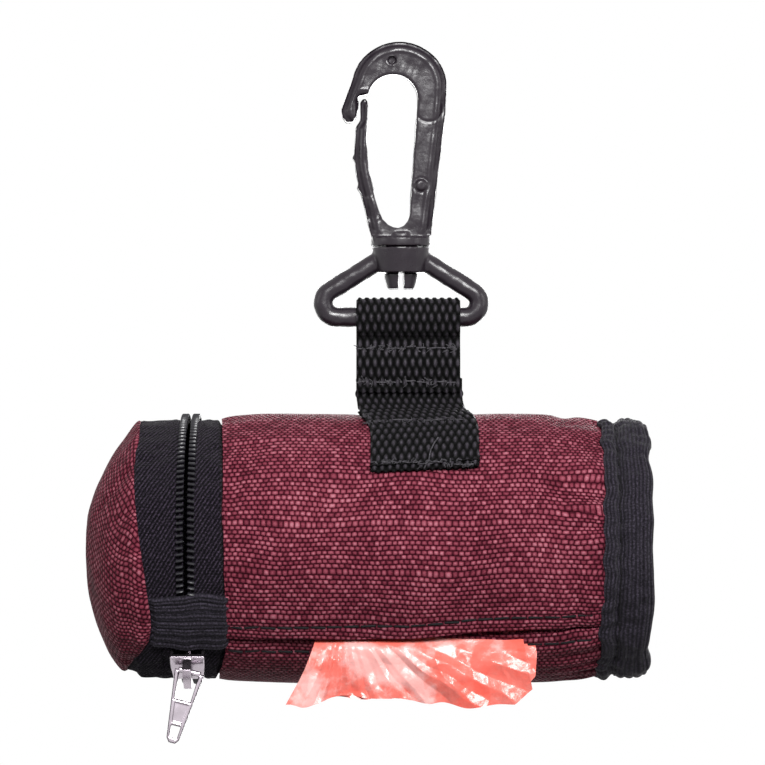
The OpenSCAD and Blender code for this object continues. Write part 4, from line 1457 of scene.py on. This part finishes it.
class POUCH_OT_stitches(bpy.types.Operator):
    """Rows of stitching on the webbing, the slit's lips and the binding"""
    bl_idname = "pouch.stitches"
    bl_label = "Stitching"

    def execute(self, context):
        pieces = context.scene.objects
        panel, loop, patch = (pieces[n] for n in ("panel_cloth", "webbing_loop", "webbing_patch"))
        for name, table, offset, node in (("lip_thread_upper", LIP_UP, -UP_HEM, "upper_lip_stitches"),
                                          ("lip_thread_lower", LIP_LOW, LOW_HEM, "lower_lip_stitches")):
            line = [(x, table_at(x, table) + offset) for x in np.arange(SEAM_X - 0.5, RIM_X + 0.5, 3.0)]
            spots = sewn_line(panel, line, WIDE_R)
            threads_laid(name, spots, stitch_pattern(2.75, 0.23), "pouch", node, "thread")

        line = [(RIM_X + 3.1, 360 * i / 76) for i in range(77)]
        spots = sewn_line(pieces["end_binding_tape"], line, RIM_R)
        threads_laid("binding_thread", spots, stitch_pattern(1.7, 0.17), "pouch", "binding_stitches",
                     "thread")

        facing = (0, -1, 0.3)

        def rows(piece, name, levels, body, node, end=()):
            """Sewn rows across the webbing at (place, outward, drop), with loose fibres and a loose end."""
            rng = np.random.default_rng(len(name))
            sewn, loose = [], []
            for centre, out, drop in levels:
                out = Vector(out)
                along = Vector((1, 0, 0))
                across = out.cross(along)
                for k in range(10):
                    side = (k + 0.5) / 10 - 0.5
                    spot = Vector(centre) + along * side * (WEB_W - 1.4)
                    spot = spot + across * (rng.normal(0, 0.12) + side * drop)
                    sewn.append((on_cloth(piece, spot, out), along + across * rng.normal(0, 0.1), out))
                for k in range(44):
                    side = rng.uniform(-0.46, 0.46)
                    spot = Vector(centre) + along * side * WEB_W
                    spot = spot + across * (rng.normal(0, 0.42) + side * drop)
                    turn = rng.uniform(0, math.pi)
                    way = along * math.cos(turn) + across * math.sin(turn)
                    loose.append((on_cloth(piece, spot, out), way, out + along * rng.normal(0, 0.5)))
            for a, b in zip(end[:-1], end[1:]):
                a, b = (on_cloth(piece, Vector((x, -26, z)), facing) + Vector((0, -0.12, 0.05))
                        for x, z in (a, b))
                sewn.append(((a + b) / 2, b - a, facing))
            first = threads_laid(name, sewn, stitch_pattern(1.75, 0.13), None, node, "fuzz")
            second = threads_laid(name + "_loose", loose, fibre_pattern(), None, node, "fuzz")
            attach(joined(name, [first, second]), body)

        z_low, z_high = span("strap_loop_stitches", 2)
        loop_rows = [((STRAP_X, 0, z), (0, side, 0), 0.0)
                     for z in (z_low + 0.3, z_high - 0.3) for side in (-1, 1)]
        rows(loop, "loop_thread", loop_rows, "strap", "strap_loop_stitches")
        patch_rows = [(around(x, a, WIDE_R + 1.6), out_at(a), -1.2)
                      for x, a in ((PATCH_X - 1.5, -66.0), (PATCH_X, -38.5))]
        loose_end = ((8.2, -59.2), (7.4, -60.6), (6.8, -62.1), (6.55, -63.6), (6.15, -65.0), (5.5, -66.2))
        rows(patch, "patch_thread", patch_rows, "pouch", "strap_patch_stitches", loose_end)
        return {"FINISHED"}


# ---------- bags ----------

FILM_TOP = -96.4
GATHER = (-9.0, -93.0)


def creases(x, z, seed):
    """Sharp folds that fan out from where the film is gathered: about -0.7 to 0.7."""
    rng = np.random.default_rng(seed)
    dx, dz = x - GATHER[0], z - GATHER[1]
    reach = np.hypot(dx, dz)
    turn = np.degrees(np.arctan2(dz, dx)) + 2.0 * ripple(x, z, seed + 1, 14)
    at = -128 + np.cumsum(rng.uniform(2.5, 7.5, 28))
    high = np.where(np.arange(28) % 2, 1.0, 0.0) * rng.uniform(0.5, 1.0, 28) + rng.uniform(-0.1, 0.1, 28)
    fold = np.interp(turn, at, high) - 0.45
    return fold * (0.5 + 0.5 * smooth(reach, 4, 16)) * (1 + 0.35 * ripple(reach, turn * 0.3, seed + 2, 6))


class POUCH_OT_bags(bpy.types.Operator):
    """Roll of bags, its core and the free end of the film"""
    bl_idname = "pouch.bags"
    bl_label = "Bags"

    def execute(self, context):
        for node, key in (("roll_core", "card"), ("bag_roll", "roll")):
            NODES[node].data.materials.clear()
            NODES[node].data.materials.append(FINISH[key])
        front = span("bag_tail", 1)[0] + 0.9
        deep = sizes().crumple

        def sheet(name, table, seed, shift, spread):
            """table: (share of the width, X at the top, X at the bottom, Z of the bottom edge)."""
            def place(u, v):
                at, *edges = zip(*table)
                top_x, low_x, low_z = (np.interp(u, at, edge) for edge in edges)
                x = top_x + (low_x - top_x) * v ** 1.3
                z = FILM_TOP + (low_z - FILM_TOP) * v
                loose = smooth(v, 0.12, 0.5)
                fold = creases(x, z, seed) * 0.42 + (facets(x, z * 0.8, seed, 9.0, 0.6) - 0.5) * 1.7
                fold = fold + (facets(x, z, seed + 10, 4.5, -0.5) - 0.5) * 0.5
                fold = fold + (facets(x, z, seed + 20, 1.7, 0.2) - 0.5) * 0.12
                y = front + shift + 1.5 * (1 - smooth(v, 0.0, 0.32)) + deep * loose * (fold - 0.35)
                y = y - spread * loose * np.abs(u - 0.5) ** 2 * 4
                jagged = 0.5 * ripple(x, 0 * z, seed + 3, 8) + 0.35 * (facets(x, 0 * z, seed + 4, 3) - 0.5)
                z = z + v * jagged
                return np.stack([x, y, z], axis=-1)
            return cloth_grid(name, 230, 90, place, (44, 14))

        back = ((0, -11.0, -13.5, -109.0), (0.5, 6.0, 6.0, -109.2), (0.85, 22.0, 22.0, -108.6),
                (0.95, 24.6, 25.6, -105.5), (1, 25.2, 25.9, -101.5))
        ahead = ((0, -13.5, -19.3, -110.3), (0.06, -12.0, -16.6, -110.3), (0.14, -9.4, -12.6, -109.4),
                 (0.26, -5.5, -7.4, -108.7), (0.4, -0.2, -0.6, -109.0), (0.55, 6.4, 7.2, -110.2),
                 (0.75, 13.6, 15.6, -110.6), (0.9, 19.8, 21.8, -110.2), (1, 23.2, 25.0, -107.4))
        film = joined("film_tail", [sheet("film_back", back, 61, 0.9, 0.3),
                                    sheet("film_front", ahead, 71, 0.0, 0.5)])
        face(film, toward_front)
        thicken(film, 0.08, offset=0)
        finish_piece(film, "film", "tail", "bag_tail", slot="film", degrees=14)
        return {"FINISHED"}


# ---------- stage ----------

class POUCH_OT_stage(bpy.types.Operator):
    """Pale floor, white surroundings and soft lamps"""
    bl_idname = "pouch.stage"
    bl_label = "Stage"

    def execute(self, context):
        scene = context.scene
        scene.view_settings.view_transform = "Standard"
        deselect()
        bpy.ops.mesh.primitive_circle_add(vertices=96, radius=FLOOR_R, fill_type="NGON",
                                          location=(0, 0, FLOOR_Z))
        floor = context.object
        floor.name = "studio_floor"
        floor.data.materials.append(studio_white())
        world = bpy.data.worlds.new("studio")
        scene.world = world
        world.use_nodes = True
        sky = Nodes(world.node_tree)
        back = world.node_tree.nodes["Background"]
        sky.join(sky.between(sky.seen(), WORLD_FILL, 1.0), back.inputs["Strength"])
        sky.join((1, 1, 1, 1), back.inputs["Color"])
        for name, where, size, power in LAMPS:
            bpy.ops.object.light_add(type="AREA", location=where)
            lamp = context.object
            lamp.name = "lamp_" + name
            lamp.data.size = size
            lamp.data.energy = power
            lamp.rotation_euler = (Vector(LAMPS_AIM) - Vector(where)).to_track_quat("-Z", "Y").to_euler()
        return {"FINISHED"}


class POUCH_OT_camera(bpy.types.Operator):
    """Camera at the photograph's viewing angle"""
    bl_idname = "pouch.camera"
    bl_label = "Camera"

    def execute(self, context):
        place = (CAMERA_X * 0.001, -CAMERA_AWAY * 0.001, CAMERA_Z * 0.001)
        bpy.ops.object.camera_add(location=place, rotation=(math.radians(90), 0, 0))
        camera = context.object
        camera.name = "camera"
        camera.data.sensor_width = SENSOR_W
        camera.data.lens = SENSOR_W * PIXELS_PER_MM * CAMERA_AWAY / FRAME_PIXELS
        camera.data.clip_start = 0.05
        camera.data.dof.use_dof = False
        context.scene.camera = camera
        return {"FINISHED"}


class POUCH_OT_finishes(bpy.types.Operator):
    """Cloth, webbing, plastic, metal and film"""
    bl_idname = "pouch.finishes"
    bl_label = "Finishes"

    def execute(self, context):
        c = colours()
        cloth, webbing, tape, plastic, metal, film = (
            tuple(value) for value in (c.cloth, c.webbing, c.tape, c.plastic, c.metal, c.film))
        FINISH.update(
            cloth=burgundy_cloth(cloth), webbing=webbing_black(webbing), tape=tape_black(tape),
            binding=binding_black(tape), thread=thread_black("thread_black", webbing),
            fuzz=thread_black("thread_grey", tint(webbing, 7.0)), plastic=moulded_black(plastic),
            coil=coil_black(tape), metal=dark_nickel(metal), film=bag_film(film), roll=roll_film(film),
            card=cardboard((0.42, 0.3, 0.19)))
        return {"FINISHED"}


STEPS = (POUCH_OT_camera, POUCH_OT_finishes, POUCH_OT_hook, POUCH_OT_strap, POUCH_OT_panel, POUCH_OT_cap,
         POUCH_OT_end, POUCH_OT_tapes, POUCH_OT_coils, POUCH_OT_tab, POUCH_OT_slider, POUCH_OT_stitches,
         POUCH_OT_bags, POUCH_OT_stage)


class POUCH_PT_panel(bpy.types.Panel):
    bl_label = "Bag Pouch"
    bl_idname = "POUCH_PT_panel"
    bl_space_type = "VIEW_3D"
    bl_region_type = "UI"
    bl_category = "Bag Pouch"

    def draw(self, context):
        for group in (context.scene.pouch_sizes, context.scene.pouch_colours):
            for key in group.__annotations__:
                self.layout.prop(group, key)
        for step in STEPS:
            self.layout.operator(step.bl_idname)


CLASSES = (PouchSizes, PouchColours, *STEPS, POUCH_PT_panel)


def register():
    for item in CLASSES:
        bpy.utils.register_class(item)
    bpy.types.Scene.pouch_sizes = bpy.props.PointerProperty(type=PouchSizes)
    bpy.types.Scene.pouch_colours = bpy.props.PointerProperty(type=PouchColours)


def unregister():
    del bpy.types.Scene.pouch_colours
    del bpy.types.Scene.pouch_sizes
    for item in reversed(CLASSES):
        bpy.utils.unregister_class(item)


def main():
    register()
    for step in STEPS:
        group, name = step.bl_idname.split(".")
        getattr(getattr(bpy.ops, group), name)()
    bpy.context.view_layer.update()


if __name__ == "__main__":
    main()
